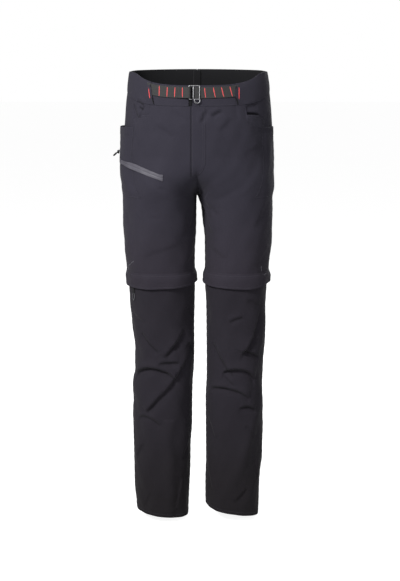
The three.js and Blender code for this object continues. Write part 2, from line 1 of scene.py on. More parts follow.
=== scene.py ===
import bpy
import numpy as np
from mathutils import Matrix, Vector


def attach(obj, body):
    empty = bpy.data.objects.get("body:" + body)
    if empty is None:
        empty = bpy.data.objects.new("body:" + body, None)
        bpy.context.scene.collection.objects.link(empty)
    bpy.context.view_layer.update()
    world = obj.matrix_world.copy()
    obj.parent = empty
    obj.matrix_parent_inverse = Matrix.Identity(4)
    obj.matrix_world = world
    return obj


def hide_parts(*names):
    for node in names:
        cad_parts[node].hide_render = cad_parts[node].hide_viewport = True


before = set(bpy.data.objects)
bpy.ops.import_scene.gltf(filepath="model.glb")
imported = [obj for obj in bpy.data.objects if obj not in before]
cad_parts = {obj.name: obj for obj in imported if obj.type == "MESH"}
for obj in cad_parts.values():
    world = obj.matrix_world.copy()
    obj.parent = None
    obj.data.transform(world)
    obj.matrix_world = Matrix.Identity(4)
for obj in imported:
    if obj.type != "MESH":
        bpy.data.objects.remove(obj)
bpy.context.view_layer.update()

MM = 0.001

# Driving sizes of the cloth
CLOTH = 1.0  # wall of one layer
SEAM = 0.15  # half of the gap between two pieces at a seam
CELL = 3.2  # distance between the lines of a cloth piece's grid
RIM = 0.35  # distance from its edge in which a piece rounds off
EDGE_LINES = (0, 0.2, 0.6, 1.3)  # extra grid lines beside an edge
CROTCH = -266
CROTCH_CURVE = {"front": 100, "back": 125}
SQUARENESS = 2.3  # 2 makes the sections ellipses, more makes them squarer
ARC = 1.4  # millimetres of cloth in one degree round a leg
DIRECTION = {"right": -1, "left": 1}
SIDES = ("right", "left")


def table(names, *rows):
    """The rows' numbers as one array for each named column."""
    return dict(zip(names.split(), np.array(rows, dtype=float).T))


# Outer line of each leg and inner line, seen from the front. Above the crotch the inner line
# is the centre seam.
OUTLINE = {
    "right": table(
        "height inner outer",
        (31, 0, 157), (-9, 0, 161), (-46, 0, 166), (-100, 0, 170), (-176, 0, 174.5),
        (-252, 0, 176), (-266, 0.8, 176), (-350, 2.5, 174.5), (-390, 5, 174), (-425, 5.5, 170),
        (-470, 5, 164), (-520, 6, 160.5), (-580, 7, 156), (-640, 7, 151), (-683, 8, 152),
        (-723, 11, 158), (-764, 12, 155.5), (-825, 12.5, 157.5), (-880, 16, 157.5),
        (-940, 17, 156.5), (-1000, 20, 153), (-1056, 22, 151),
    ),
    "left": table(
        "height inner outer",
        (31, 0, 163), (-9, 0, 168), (-46, 0, 172.5), (-100, 0, 176.5), (-176, 0, 177.5),
        (-252, 0, 180), (-266, 1.5, 180.5), (-290, 9.5, 180.5), (-329, 14, 179), (-367, 18.5, 177),
        (-425, 19, 173), (-470, 19, 168.5), (-523, 22, 165), (-603, 23, 165), (-663, 23.5, 161),
        (-703, 23.5, 159.5), (-764, 21, 162), (-825, 21.5, 161), (-908, 22, 160.5),
        (-971, 20.5, 155.5), (-1056, 21, 152.5),
    ),
}

# How far the middle of the front and of the back stand from the origin's upright plane
DEPTH = table(
    "height front back",
    (31, 99, 107), (-22, 107, 115), (-60, 113, 122), (-100, 118, 129), (-170, 119, 138),
    (-240, 112, 132), (-300, 105, 117), (-400, 99, 96), (-470, 93, 82), (-540, 84, 73),
    (-700, 72, 76), (-900, 66, 72), (-1056, 62, 64),
)

# Upper and lower edge of the waistband, by the turn from the centre front
WAIST = table(
    "turn rim seam",
    (0, -7.5, -54), (20, -5.5, -53), (33, -1.5, -51), (42, 4, -48.5), (50, 10.5, -45),
    (59, 19, -39), (70, 23, -32), (90, 24, -18), (120, 28, -14), (180, 31, -14),
)

# Lower edge of the hand pocket's mouth, by the angle round the leg
POCKET_MOUTH = table(
    "angle height",
    (72, -73), (96, -74), (113, -82), (126, -94), (138, -106), (150, -109), (180, -109),
)

# How far the side pockets stand out
SIDE_POCKET_RISE = {
    "right": table(
        "height rise",
        (-102, 9), (-125, 8), (-160, 8.5), (-214, 6.5), (-240, 3.5), (-262, 2.4),
    ),
    "left": table(
        "height rise",
        (-102, 1.6), (-130, 2.6), (-160, 3.4), (-230, 4), (-262, 2.4),
    ),
}

# Middle line of the thigh pocket's zip
THIGH_ZIP_LINE = table(
    "angle height",
    (51, -214.5), (62, -209.5), (77, -202.5), (98, -194.5), (131, -186.2), (160, -181), (176, -175),
    (190, -157),
)


def smooth_value(rows, key, name, where):
    """Cubic steps between a table's rows. The slope at a row is the harmonic mean of the
    slopes beside it, and zero at a turn and at both ends, so that no step overshoots."""
    order = np.argsort(rows[key])
    x, y = rows[key][order], rows[name][order]
    chord = np.diff(y) / np.diff(x)
    product, total = chord[:-1] * chord[1:], chord[:-1] + chord[1:]
    slope = np.zeros(len(x))
    slope[1:-1] = np.where(product > 0, 2 * product / np.where(product > 0, total, 1), 0)
    index = np.clip(np.searchsorted(x, where) - 1, 0, len(x) - 2)
    span = x[index + 1] - x[index]
    t = np.clip((where - x[index]) / span, 0, 1)
    return (
        y[index] * (1 + 2 * t) * (1 - t) ** 2
        + slope[index] * span * t * (1 - t) ** 2
        + y[index + 1] * t**2 * (3 - 2 * t)
        + slope[index + 1] * span * t**2 * (t - 1)
    )


def smoothstep(start, end, value):
    """Zero before start, one after end and 3t^2 - 2t^3 between them."""
    t = np.clip((value - start) / (end - start), 0, 1)
    return t * t * (3 - 2 * t)


def rounded(value, power):
    """A power of the size of a value, with the value's sign."""
    return np.sign(value) * np.abs(value) ** power


def cosine(degrees):
    return np.cos(np.radians(degrees))


def sine(degrees):
    return np.sin(np.radians(degrees))


def across(angle):
    """Share of a leg's width at an angle of its section, a squared ellipse."""
    return (1 - rounded(cosine(angle), 2 / SQUARENESS)) / 2


def fork_angle(angle, height):
    """Part of the section that the crotch seam has taken away: 90 times the sine of the
    way up the crotch's curve."""
    curve = np.where(angle <= 180, CROTCH_CURVE["front"], CROTCH_CURVE["back"])
    return 90 * sine(90 * np.clip((height - CROTCH) / curve, 0, 1))


def plain_point(side, angle, height):
    """Squared ellipse through the outline and the depth at each height. Angle 0 is the inner
    or centre front seam, 90 the front, 180 the side seam, 270 the back and 360 the inner or
    centre back seam. Above the crotch the section starts at the fork angle."""
    angle, height = np.broadcast_arrays(angle, height)
    fork = fork_angle(angle, height)
    half = np.where(angle <= 180, angle, 360 - angle)
    turned = fork + (180 - fork) * half / 180
    share = (across(turned) - across(fork)) / (1 - across(fork))
    inner = np.maximum(smooth_value(OUTLINE[side], "height", "inner", height), SEAM)
    outer = smooth_value(OUTLINE[side], "height", "outer", height)
    front = smooth_value(DEPTH, "height", "front", height)
    back = smooth_value(DEPTH, "height", "back", height)
    depth = rounded(sine(turned), 2 / SQUARENESS) * (front + back) / 2
    x = inner + (outer - inner) * share
    y = (back - front) / 2 + np.where(angle <= 180, -depth, depth)
    return np.stack([DIRECTION[side] * x, y, height], axis=-1)


def angle_at(side, x, height):
    """Angle of the front surface at a distance from the centre: plain_point solved for it."""
    fork = fork_angle(0, height)
    inner = np.maximum(smooth_value(OUTLINE[side], "height", "inner", height), SEAM)
    outer = smooth_value(OUTLINE[side], "height", "outer", height)
    share = np.maximum((np.abs(x) - inner) / (outer - inner), 0)
    value = 1 - 2 * (across(fork) + share * (1 - across(fork)))
    turned = np.degrees(np.arccos(np.clip(rounded(value, SQUARENESS / 2), -1, 1)))
    return (turned - fork) * 180 / (180 - fork)


# Creases. Each runs from one angle and height to another, bowed at its middle, as a valley of
# the given depth and width with a soft ridge, the lip, above it. A negative depth is a ridge
# and a negative lip lies below the valley.
CREASES = {
    "right": table(
        "angle height to_angle to_height depth width bow lip",
        # hand pocket and hip
        (104, -41, 87, -51, 5, 3.2, 2, 2.8), (98, -53, 87, -60, 4, 2.8, -1, 1.8),
        (114, -48, 97, -80, 5.4, 3.6, -4, 2.8), (87, -52, 97, -80, 4.4, 3, 4, 2),
        (120, -60, 108, -96, 2.2, 6.8, 0, -1.4), (104, -100, 113, -134, -1.4, 2.6, 0, 0),
        (30, -60, 12, -84, 1.5, 6.8, 0, 1.1), (60, -95, 30, -120, 1.5, 10.2, 3, 1.1),
        # thigh
        (70, -237, 62, -237, 1.4, 3.4, 0, 0.8), (99, -303, 88, -306, 0.9, 3.4, 0, 0.5),
        (14, -262, 34, -338, 3.4, 10.2, 0, 1.3), (6, -236, 22, -262, 2.4, 5.1, 0, 1.3),
        (40, -300, 52, -352, 1.6, 10.2, 0, 0.7), (60, -370, 110, -400, 1.2, 13.6, 4, 0.7),
        (20, -395, 48, -425, 1.9, 8.5, 2, 1), (150, -300, 132, -395, 1.4, 13.6, 0, -0.8),
        # lower leg, front
        (21, -590, 63, -683, 4.3, 8.4, -6, 4.6), (58, -672, 119, -781, 8.5, 8.5, -8, 7),
        (50, -578, 76, -622, 5.6, 7.5, 0, 3.2), (66, -606, 89, -643, 5.1, 5.6, 2, 3.4),
        (128, -584, 97, -630, 4, 5.4, -3, 1.6), (150, -692, 70, -697, 7.5, 7.2, 24, 7),
        (97, -657, 64, -657, 4.6, 5, 1, 3), (139, -797, 92, -812, 5.5, 5.2, 12, 4.6),
        (80, -800, 72, -1045, -5, 17, 0, 0), (150, -540, 120, -560, 2.2, 8.4, 2, 1.3),
        (36, -520, 16, -560, 3.5, 11.2, 0, 1.6), (14, -640, 40, -610, 4.3, 8.4, 4, 2.6),
        (125, -860, 150, -905, 2.4, 13.1, 0, 1.6), (20, -850, 48, -905, 2.6, 15, 0, 1.6),
        (48, -950, 60, -1030, 2.2, 13.1, 0, -1.3), (110, -985, 132, -1028, 1.9, 11.2, 0, 1.1),
        # back
        (346, -300, 285, -345, 4.7, 11.9, 0, 2.6), (350, -285, 310, -300, 3, 7.6, 4, 1.8),
        (262, -330, 214, -372, 2.2, 10.2, 4, 1.3), (336, -500, 262, -530, 6.6, 11.2, -8, 4.2),
        (205, -545, 282, -600, 6.6, 11.2, 0, 4.2), (320, -548, 286, -585, 4.3, 6.6, 3, 2.9),
        (330, -700, 240, -770, 6.6, 13.1, 8, 4.2), (225, -860, 300, -930, 5.4, 13.1, -6, 3.4),
        (300, -640, 232, -668, 4.3, 7.5, 10, 2.9), (250, -800, 296, -822, 3.5, 6.6, 6, 2.6),
        (300, -115, 240, -150, 2.7, 13.6, 6, 1.4), (214, -90, 232, -140, 2.2, 8.5, 0, 1.1),
        (330, -980, 262, -1010, 3, 13.1, 4, 1.6), (210, -960, 236, -1020, 2.2, 13.1, 0, 1.3),
    ),
    "left": table(
        "angle height to_angle to_height depth width bow lip",
        # hand pocket, hip and the drag lines under the belt
        (8, -64, 3.5, -90, 3.8, 3.4, 0, 2.1), (31, -62, 16, -74, 3.8, 3.4, 1, 2.5),
        (103, -104, 140, -108, 2.2, 4.2, -2, 1.4), (70, -57, 100, -50, 2, 5.1, 3, 1.4),
        (78, -84, 110, -112, 1.7, 7.6, -2, 1.1), (57, -52, 60, -84, 1.2, 5.1, 0, 0.6),
        (44, -80, 26, -110, 1.5, 7.6, 0, 1.1), (120, -140, 70, -160, 1.1, 11.9, 4, 0.7),
        # thigh
        (16, -258, 40, -345, 4.1, 11, 0, 1.8), (33, -243, 46, -318, 2.2, 7.6, 0, 1.3),
        (30, -262, 62, -300, 1.6, 10.2, 0, 0.8), (140, -270, 112, -330, 1.4, 12.8, 0, 0.9),
        (28, -372, 70, -402, 1.6, 11, 2, 0.9), (150, -380, 118, -420, 1.4, 10.2, 0, 0.8),
        # lower leg, front
        (137, -534, 122, -592, 6.6, 8.4, 0, 3.4), (124, -590, 101, -633, 9, 8, 0, 6),
        (101, -628, 140, -646, 8, 9, 2, 5), (78, -556, 99, -543, 3.5, 4.6, 2, 2.6),
        (66, -682, 131, -701, 9, 7.4, 18, 8), (70, -689, 90, -713, 3, 3.7, 0, 1.6),
        (38, -724, 116, -746, 6.5, 5.6, 14, 6), (97, -769, 131, -778, 5, 5.2, 6, 4),
        (40, -610, 88, -690, 3.8, 11.2, 0, 1.6), (129, -782, 82, -1000, -5, 17, 0, 0),
        (91, -1011, 116, -976, 3, 8.4, 0, 1.6), (112, -812, 132, -846, 2.6, 7.5, 0, 1.6),
        (26, -800, 52, -850, 2.2, 14.1, 0, 1.6), (110, -500, 134, -520, 2.6, 6.6, 2, 1.6),
        (20, -900, 44, -980, 2.2, 16.8, 0, 1.3), (132, -900, 150, -960, 3, 12.1, 0, 1.6),
        # back
        (346, -310, 288, -360, 4.7, 11.9, 0, 2.6), (352, -288, 316, -306, 3, 7.6, 4, 1.8),
        (260, -322, 216, -360, 2.2, 10.2, 4, 1.3), (330, -505, 258, -540, 6.6, 11.2, -8, 4.2),
        (212, -560, 285, -620, 6.6, 11.2, 0, 4.2), (316, -560, 282, -592, 4.3, 6.6, 3, 2.9),
        (322, -720, 236, -775, 6.6, 13.1, 8, 4.2), (228, -880, 300, -940, 5.4, 13.1, -6, 3.4),
        (304, -655, 236, -682, 4.3, 7.5, 10, 2.9), (248, -812, 292, -836, 3.5, 6.6, 6, 2.6),
        (300, -112, 238, -146, 2.7, 13.6, 6, 1.4), (212, -94, 230, -146, 2.2, 8.5, 0, 1.1),
        (326, -985, 258, -1016, 3, 13.1, 4, 1.6), (208, -955, 238, -1012, 2.2, 13.1, 0, 1.3),
    ),
}

# Long soft waves of cloth that hangs free: waves per degree round the leg and per
# millimetre down it, start of the wave and height. Each leg starts them elsewhere.
WAVES = table(
    "around down start height",
    (0.011, 0.0042, 0.1, 0.7), (-0.017, 0.0061, 0.6, 0.5), (0.026, 0.0093, 0.35, 0.35),
    (-0.038, 0.0127, 0.8, 0.22), (0.009, -0.0151, 0.2, 0.25),
)

WAVE_START = {"right": 0, "left": 0.31}

FOLD_EDGE = 1.6  # distance in which a crease steps from its lip into its valley
CREASE_REACH = {"lip": 2.4, "valley": 1.9, "painted_shade": 1.4}  # times its width, or its edge
CREASE_FADE = 0.35  # power with which it dies out towards its two ends
CREASE_SHADE_DEPTH = (1.8, 4.6)  # crease depths at which its painted shade starts and is full


def crease(row, angle, height):
    """Depth of one crease and the painted shade where the cloth tucks under its lip. Its line
    bows by 4t(1-t). On the lip's side the cloth stands out as exp(-(s/2.4w)^2) and on the
    other it lies in as exp(-(s/1.9w)^2), with a steep step 1/(1+exp(-s/e)) between them,
    where the painted shade is exp(-(s/1.4e)^2), more for deeper creases. All fade at the
    line's two ends. With no lip it is a plain trough exp(-(d/w)^2) with no painted shade."""
    reach = (row["to_angle"] - row["angle"]) * ARC
    rise = row["to_height"] - row["height"]
    length = np.hypot(reach, rise)
    turned = angle - row["angle"]
    turned = np.where(height < CROTCH, (turned + 180) % 360 - 180, turned) * ARC
    raised = height - row["height"]
    t = np.clip((turned * reach + raised * rise) / length**2, 0, 1)
    off_x = turned - reach * t
    off_z = raised - rise * t - row["bow"] * 4 * t * (1 - t)
    upward = 1 if reach > 0 or (reach == 0 and rise > 0) else -1
    aside = (off_z * reach - off_x * rise) / length * upward * np.sign(row["lip"] or 1)
    distance = np.hypot(off_x, off_z)
    width = row["width"]
    fade = (4 * t * (1 - t)) ** CREASE_FADE
    if row["lip"] == 0:
        return fade * row["depth"] * np.exp(-((distance / width) ** 2)), 0
    beyond = np.exp(-np.maximum(distance**2 - aside**2, 0) / width**2)
    over = 1 / (1 + np.exp(-aside / FOLD_EDGE))
    ridge = np.abs(row["lip"]) * np.exp(-((aside / (CREASE_REACH["lip"] * width)) ** 2)) * over
    valley = row["depth"] * np.exp(-((aside / (CREASE_REACH["valley"] * width)) ** 2)) * (1 - over)
    painted_shade = np.exp(-(((aside + FOLD_EDGE) / (CREASE_REACH["painted_shade"] * FOLD_EDGE)) ** 2))
    painted_shade = painted_shade * smoothstep(*CREASE_SHADE_DEPTH, row["depth"])
    return fade * beyond * (valley - ridge), fade * beyond * painted_shade


def each_crease(side, angle, height):
    rows = CREASES[side]
    for values in zip(*rows.values()):
        yield crease(dict(zip(rows, values)), angle, height)


def crease_shade(side, angle, height):
    """Painted shade of the side's creases at a place, from 0 to 1."""
    return np.clip(sum(painted_shade for _, painted_shade in each_crease(side, angle, height)), 0, 1)


def crease_depth(side, angle, height):
    """Sum of the side's creases and of the long soft waves, which fade out at the centre
    and inner seams so that the two legs' cloth meets there."""
    total = sum(depth for depth, _ in each_crease(side, angle, height))
    steady = smoothstep(2, 26, np.minimum(angle, 360 - angle)) * smoothstep(-40, -110, height)
    for around, down, start, rise in zip(*WAVES.values()):
        phase = around * angle + down * height + start + WAVE_START[side]
        total += steady * rise * np.sin(2 * np.pi * phase)
    return total + seam_pucker(angle, height)


PUCKER = {"height": 0.28, "reach": 14, "step": 3.1, "drift": 23}


def seam_pucker(angle, height):
    """Short ripples beside the side and inner seams: a sine down the seam that falls off
    as exp(-d/14) with the distance from it."""
    beside_side = np.exp(-np.abs(angle - 180) * ARC / PUCKER["reach"])
    beside_inner = np.exp(-np.minimum(angle, 360 - angle) * ARC / PUCKER["reach"])
    ripple = np.sin(height / PUCKER["step"] + 1.3 * np.sin(height / PUCKER["drift"]))
    side = beside_side * smoothstep(-112, -130, height)
    inner = beside_inner * smoothstep(CROTCH + 10, CROTCH - 30, height)
    return PUCKER["height"] * ripple * (side + inner)


def unit(vectors):
    return vectors / np.linalg.norm(vectors, axis=-1, keepdims=True)


def surface(side, angle, height, creased=True):
    """Place and outward direction of the cloth. The direction is the cross product of the
    differences round and up, and the creases push the place in along it."""
    angle, height = np.broadcast_arrays(np.asarray(angle, float), np.asarray(height, float))
    less, more = np.maximum(angle - 0.5, 0), np.minimum(angle + 0.5, 360)
    around = plain_point(side, more, height) - plain_point(side, less, height)
    up = plain_point(side, angle, height + 2) - plain_point(side, angle, height - 2)
    normal = unit(np.cross(around, up)) * DIRECTION[side]
    point = plain_point(side, angle, height)
    if creased:
        point = point - normal * crease_depth(side, angle, height)[..., None]
    return point, normal


def front_surface(x, height):
    """Place and direction at distances x from the centre, for arrays that cross it."""
    x, height = np.broadcast_arrays(np.asarray(x, float), np.asarray(height, float))
    point, normal = np.empty(x.shape + (3,)), np.empty(x.shape + (3,))
    for side in SIDES:
        here = x < 0 if side == "right" else x >= 0
        if here.any():
            angle = angle_at(side, x[here], height[here])
            point[here], normal[here] = surface(side, angle, height[here])
    return point, normal


# Meshes


def grid_faces(index):
    """Quads between the neighbouring rows and columns of a grid of numbers."""
    corners = (index[:-1, :-1], index[1:, :-1], index[1:, 1:], index[:-1, 1:])
    return np.stack(corners, axis=-1).reshape(-1, 4)


def add_piece(
    name, points, faces, material, uvs=None, uv_faces=None, body="trousers", lining=None, painted_shade=None
):
    """A mesh from points in millimetres and quads, in which a corner that is given twice
    makes a triangle. A closed mesh whose signed volume is negative is turned inside out. A
    lining is the material of the second half of the faces, and the last argument a value of
    each point that its material reads as painted shade."""
    points = np.asarray(points, float).reshape(-1, 3)
    faces = np.asarray(faces)
    a, b, c, d = (points[faces[:, corner]] for corner in range(4))
    volume = (a * np.cross(b, c)).sum() + (a * np.cross(c, d)).sum()
    if volume < 0:
        faces = faces[:, ::-1]
        uv_faces = None if uv_faces is None else uv_faces[:, ::-1]
    corner_uv = None if uvs is None else (faces if uv_faces is None else uv_faces)
    keep = np.ones(faces.shape, bool)
    keep[:, 1:] = faces[:, 1:] != faces[:, :-1]
    keep[:, 0] = faces[:, 0] != faces[:, 3]
    sizes = keep.sum(axis=1)
    mesh = bpy.data.meshes.new(name)
    mesh.vertices.add(len(points))
    mesh.vertices.foreach_set("co", (points * MM).ravel())
    mesh.loops.add(int(sizes.sum()))
    mesh.loops.foreach_set("vertex_index", faces[keep].astype(np.int32))
    mesh.polygons.add(len(faces))
    mesh.polygons.foreach_set("loop_start", (np.cumsum(sizes) - sizes).astype(np.int32))
    mesh.update(calc_edges=True)
    mesh.polygons.foreach_set("use_smooth", np.ones(len(faces), bool))
    if uvs is not None:
        layer = mesh.uv_layers.new(name="cloth")
        flat = np.asarray(uvs, float).reshape(-1, 2) * MM
        layer.data.foreach_set("uv", flat[corner_uv[keep]].ravel())
    if painted_shade is not None:
        mesh.attributes.new("painted_shade", "FLOAT", "POINT").data.foreach_set("value", painted_shade)
    mesh.materials.append(material)
    if lining is not None:
        mesh.materials.append(lining)
        layer_of = np.arange(len(faces)) >= len(faces) // 2
        mesh.polygons.foreach_set("material_index", layer_of.astype(np.int32))
    piece = bpy.data.objects.new(name, mesh)
    bpy.context.scene.collection.objects.link(piece)
    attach(piece, body)
    return piece


def piece_shares(length, cell=CELL):
    """Shares from 0 to 1 along a length: even steps, with closer lines beside both ends."""
    edge = np.array(EDGE_LINES) / length
    count = max(int(round((length - 2 * EDGE_LINES[-1]) / cell)), 1)
    middle = np.linspace(edge[-1], 1 - edge[-1], count + 1)[1:-1]
    return np.concatenate([edge, middle, 1 - edge[::-1]])


def angle_lines(start, end, cell=CELL):
    """Angles of a piece's columns between two seams, half a seam gap inside them."""
    gap = SEAM / ARC
    return start + gap + (end - start - 2 * gap) * piece_shares((end - start) * ARC, cell)


def edge_distance(points, ring):
    """Distance of each point of a grid from the grid's nearest edge, along its lines."""
    down = np.linalg.norm(np.diff(points, axis=0), axis=-1)
    from_top = np.concatenate([np.zeros((1, points.shape[1])), np.cumsum(down, axis=0)])
    nearest = np.minimum(from_top, from_top[-1] - from_top)
    if ring:
        return nearest
    along = np.linalg.norm(np.diff(points, axis=1), axis=-1)
    from_start = np.concatenate([np.zeros((points.shape[0], 1)), np.cumsum(along, axis=1)], axis=1)
    return np.minimum(nearest, np.minimum(from_start, from_start[:, -1:] - from_start))


def shell(
    name, place, material, uvs, wall=CLOTH, lift=None, ring=False, rim=RIM, lining=None, painted_shade=None
):
    """Closed wall over a grid of places and directions. Lift is how far its inner face is out
    of the surface. Both faces draw together at the edge as a quarter of an ellipse,
    sqrt(1 - (1 - d/rim)^2), and share their edge points."""
    point, normal = place
    lift = -wall if lift is None else lift
    rows, columns = point.shape[:2]
    draw = 1 - np.clip(edge_distance(point, ring) / rim, 0, 1)
    half = np.broadcast_to(wall, draw.shape) / 2
    middle = np.broadcast_to(lift, draw.shape) + half
    swell = half * np.sqrt(1 - draw**2)
    outer = point + normal * (middle + swell)[..., None]
    inner = point + normal * (middle - swell)[..., None]
    outside = np.arange(rows * columns).reshape(rows, columns)
    inside = outside.copy()
    within = np.zeros(inside.shape, bool)
    within[1:-1, slice(None) if ring else slice(1, -1)] = True
    inside[within] = rows * columns + np.arange(within.sum())
    points = np.concatenate([outer.reshape(-1, 3), inner[within]])
    uv_index = np.arange(rows * uvs.shape[1]).reshape(rows, uvs.shape[1])
    if ring:
        outside = np.concatenate([outside, outside[:, :1]], axis=1)
        inside = np.concatenate([inside, inside[:, :1]], axis=1)
    faces = np.concatenate([grid_faces(outside), grid_faces(inside)[:, ::-1]])
    uv_faces = np.concatenate([grid_faces(uv_index), grid_faces(uv_index)[:, ::-1]])
    if painted_shade is not None:
        painted_shade = np.concatenate([painted_shade.ravel(), np.zeros(within.sum())])
    return add_piece(name, points, faces, material, uvs, uv_faces, lining=lining, painted_shade=painted_shade)


def cloth_uv(angle, height):
    """Millimetres of cloth: across by the angle and down by the height."""
    angle, height = np.broadcast_arrays(angle, height)
    return np.stack([angle * ARC, height], axis=-1)


def leg_cloth(name, side, angle, height, material, painted_shade=None, **options):
    """A shell over a leg's surface at a grid of angles and heights, with its creases' painted shade."""
    angle = np.broadcast_to(angle, height.shape)
    painted_shade = crease_shade(side, angle, height) if painted_shade is None else painted_shade
    place, uvs = surface(side, angle, height), cloth_uv(angle, height)
    return shell(name, place, material, uvs, painted_shade=painted_shade, **options)


def tube(path, radius, binormal, around=12, rounded_ends=True):
    """Points and quads of a tube along a flat path: circles of the radius in the planes of
    the path's tangent, with the radius drawn in as a quarter circle at both ends."""
    path = np.asarray(path, float)
    tangent = unit(np.gradient(path, axis=0))
    binormal = unit(np.broadcast_to(binormal, path.shape))
    side = unit(np.cross(tangent, binormal))
    along = np.concatenate([[0], np.cumsum(np.linalg.norm(np.diff(path, axis=0), axis=1))])
    size = np.full(len(path), float(radius))
    if rounded_ends:
        from_end = np.minimum(along, along[-1] - along)
        size = radius * np.sqrt(1 - (1 - np.clip(from_end / radius, 0, 1)) ** 2)
    turn = np.linspace(0, 2 * np.pi, around, endpoint=False)
    ring = np.cos(turn)[None, :, None] * side[:, None] + np.sin(turn)[None, :, None] * binormal[:, None]
    points = (path[:, None] + ring * np.maximum(size, 1e-4)[:, None, None]).reshape(-1, 3)
    index = np.arange(len(points)).reshape(len(path), around)
    faces = grid_faces(np.concatenate([index, index[:, :1]], axis=1))
    return points, faces


def smooth_path(points, count):
    """Catmull-Rom curve through points, sampled at even steps of its length."""
    points = np.asarray(points, float)
    ends = [2 * points[0] - points[1]], [2 * points[-1] - points[-2]]
    p = np.concatenate([ends[0], points, ends[1]])
    t = np.linspace(0, 1, 17)[:-1, None]
    steps = []
    for a, b, c, d in zip(p[:-3], p[1:-2], p[2:-1], p[3:]):
        bend = (2 * a - 5 * b + 4 * c - d) * t**2 + (3 * b - a - 3 * c + d) * t**3
        steps.append(0.5 * (2 * b + (c - a) * t + bend))
    fine = np.concatenate(steps + [points[-1:]])
    along = np.concatenate([[0], np.cumsum(np.linalg.norm(np.diff(fine, axis=0), axis=1))])
    even = np.linspace(0, along[-1], count)
    return np.stack([np.interp(even, along, fine[:, axis]) for axis in range(3)], axis=-1)


def copies(shape, shape_faces, centre, along, aside, out):
    """One small shape at many places, with its corners along the three directions of each."""
    points = (
        centre[:, None]
        + along[:, None] * shape[None, :, :1]
        + aside[:, None] * shape[None, :, 1:2]
        + out[:, None] * shape[None, :, 2:]
    )
    faces = shape_faces[None] + (np.arange(len(centre)) * len(shape))[:, None, None]
    return points.reshape(-1, 3), faces.reshape(-1, 4)


def together(parts):
    """Points and quads of several meshes as one."""
    offsets = np.cumsum([0] + [len(points) for points, _ in parts[:-1]])
    points = np.concatenate([points for points, _ in parts])
    faces = np.concatenate([faces + offset for (_, faces), offset in zip(parts, offsets)])
    return points, faces


# Materials


def linear(red, green, blue):
    """A screen colour of 0 to 255 as linear light, with alpha one."""
    return tuple(((value / 255) ** 2.2) for value in (red, green, blue)) + (1,)


def connect(tree, value, socket):
    """Sets a socket to a number or colour, or links another socket to it."""
    if isinstance(value, bpy.types.NodeSocket):
        tree.links.new(value, socket)
    elif value is not None:
        socket.default_value = value


def place_node(tree, kind, values=(), **settings):
    """A node with its settings, and values for its first inputs in order."""
    node = tree.nodes.new(kind)
    for name, setting in settings.items():
        setattr(node, name, setting)
    for value, socket in zip(values, node.inputs):
        connect(tree, value, socket)
    return node


def calculate(tree, operation, *values):
    return place_node(tree, "ShaderNodeMath", values, operation=operation).outputs[0]


def effect(name, inputs, outputs):
    """An empty node group with named inputs and outputs, and its two end nodes."""
    tree = bpy.data.node_groups.new(name, "ShaderNodeTree")
    kinds = {"vector": "NodeSocketVector", "value": "NodeSocketFloat", "color": "NodeSocketColor"}
    for socket, kind in inputs.items():
        tree.interface.new_socket(name=socket, in_out="INPUT", socket_type=kinds[kind])
    for socket, kind in outputs.items():
        tree.interface.new_socket(name=socket, in_out="OUTPUT", socket_type=kinds[kind])
    start, end = tree.nodes.new("NodeGroupInput"), tree.nodes.new("NodeGroupOutput")
    return tree, start, end


def noise(tree, vector, scale, detail=3, roughness=0.55):
    node = place_node(tree, "ShaderNodeTexNoise")
    tree.links.new(vector, node.inputs["Vector"])
    connect(tree, scale, node.inputs["Scale"])
    node.inputs["Detail"].default_value = detail
    node.inputs["Roughness"].default_value = roughness
    return node.outputs["Fac"]


def make_twill():
    """Height of a twill: diagonal ridges sin(2 pi (u+v) f) broken up by the yarns across them,
    |sin(pi (u-v) f / 2)|, and a mask of the low places between the yarns."""
    tree, start, end = effect(
        "twill", {"Vector": "vector", "Yarns": "value"}, {"Height": "value", "Gaps": "value"}
    )
    split = place_node(tree, "ShaderNodeSeparateXYZ", [start.outputs["Vector"]])
    u = calculate(tree, "MULTIPLY", split.outputs[0], start.outputs["Yarns"])
    v = calculate(tree, "MULTIPLY", split.outputs[1], start.outputs["Yarns"])
    ridge = calculate(tree, "ADD", u, v)
    ridge = calculate(tree, "SINE", calculate(tree, "MULTIPLY", ridge, 2 * np.pi))
    yarn = calculate(tree, "MULTIPLY", calculate(tree, "SUBTRACT", u, v), np.pi / 2)
    yarn = calculate(tree, "ABSOLUTE", calculate(tree, "SINE", yarn))
    height = calculate(tree, "MULTIPLY_ADD", ridge, 0.3, calculate(tree, "MULTIPLY", yarn, 0.4))
    height = calculate(tree, "ADD", height, 0.3)
    gaps = calculate(tree, "SUBTRACT", 1, height)
    connect(tree, height, end.inputs["Height"])
    connect(tree, gaps, end.inputs["Gaps"])
    return tree


def make_crumple():
    """Small unevenness of used cloth: noise of two sizes as a height, and a slow mottling of
    its colour. Both are on the place in the object."""
    tree, start, end = effect(
        "crumple", {"Vector": "vector", "Size": "value"}, {"Height": "value", "Mottle": "value"}
    )
    vector = start.outputs["Vector"]
    scale = calculate(tree, "DIVIDE", 1, start.outputs["Size"])
    broad = noise(tree, vector, scale, 2)
    fine = noise(tree, vector, calculate(tree, "MULTIPLY", scale, 6), 3)
    connect(tree, calculate(tree, "MULTIPLY_ADD", fine, 0.25, broad), end.inputs["Height"])
    slow = noise(tree, vector, calculate(tree, "MULTIPLY", scale, 0.45), 4, 0.6)
    connect(tree, slow, end.inputs["Mottle"])
    return tree


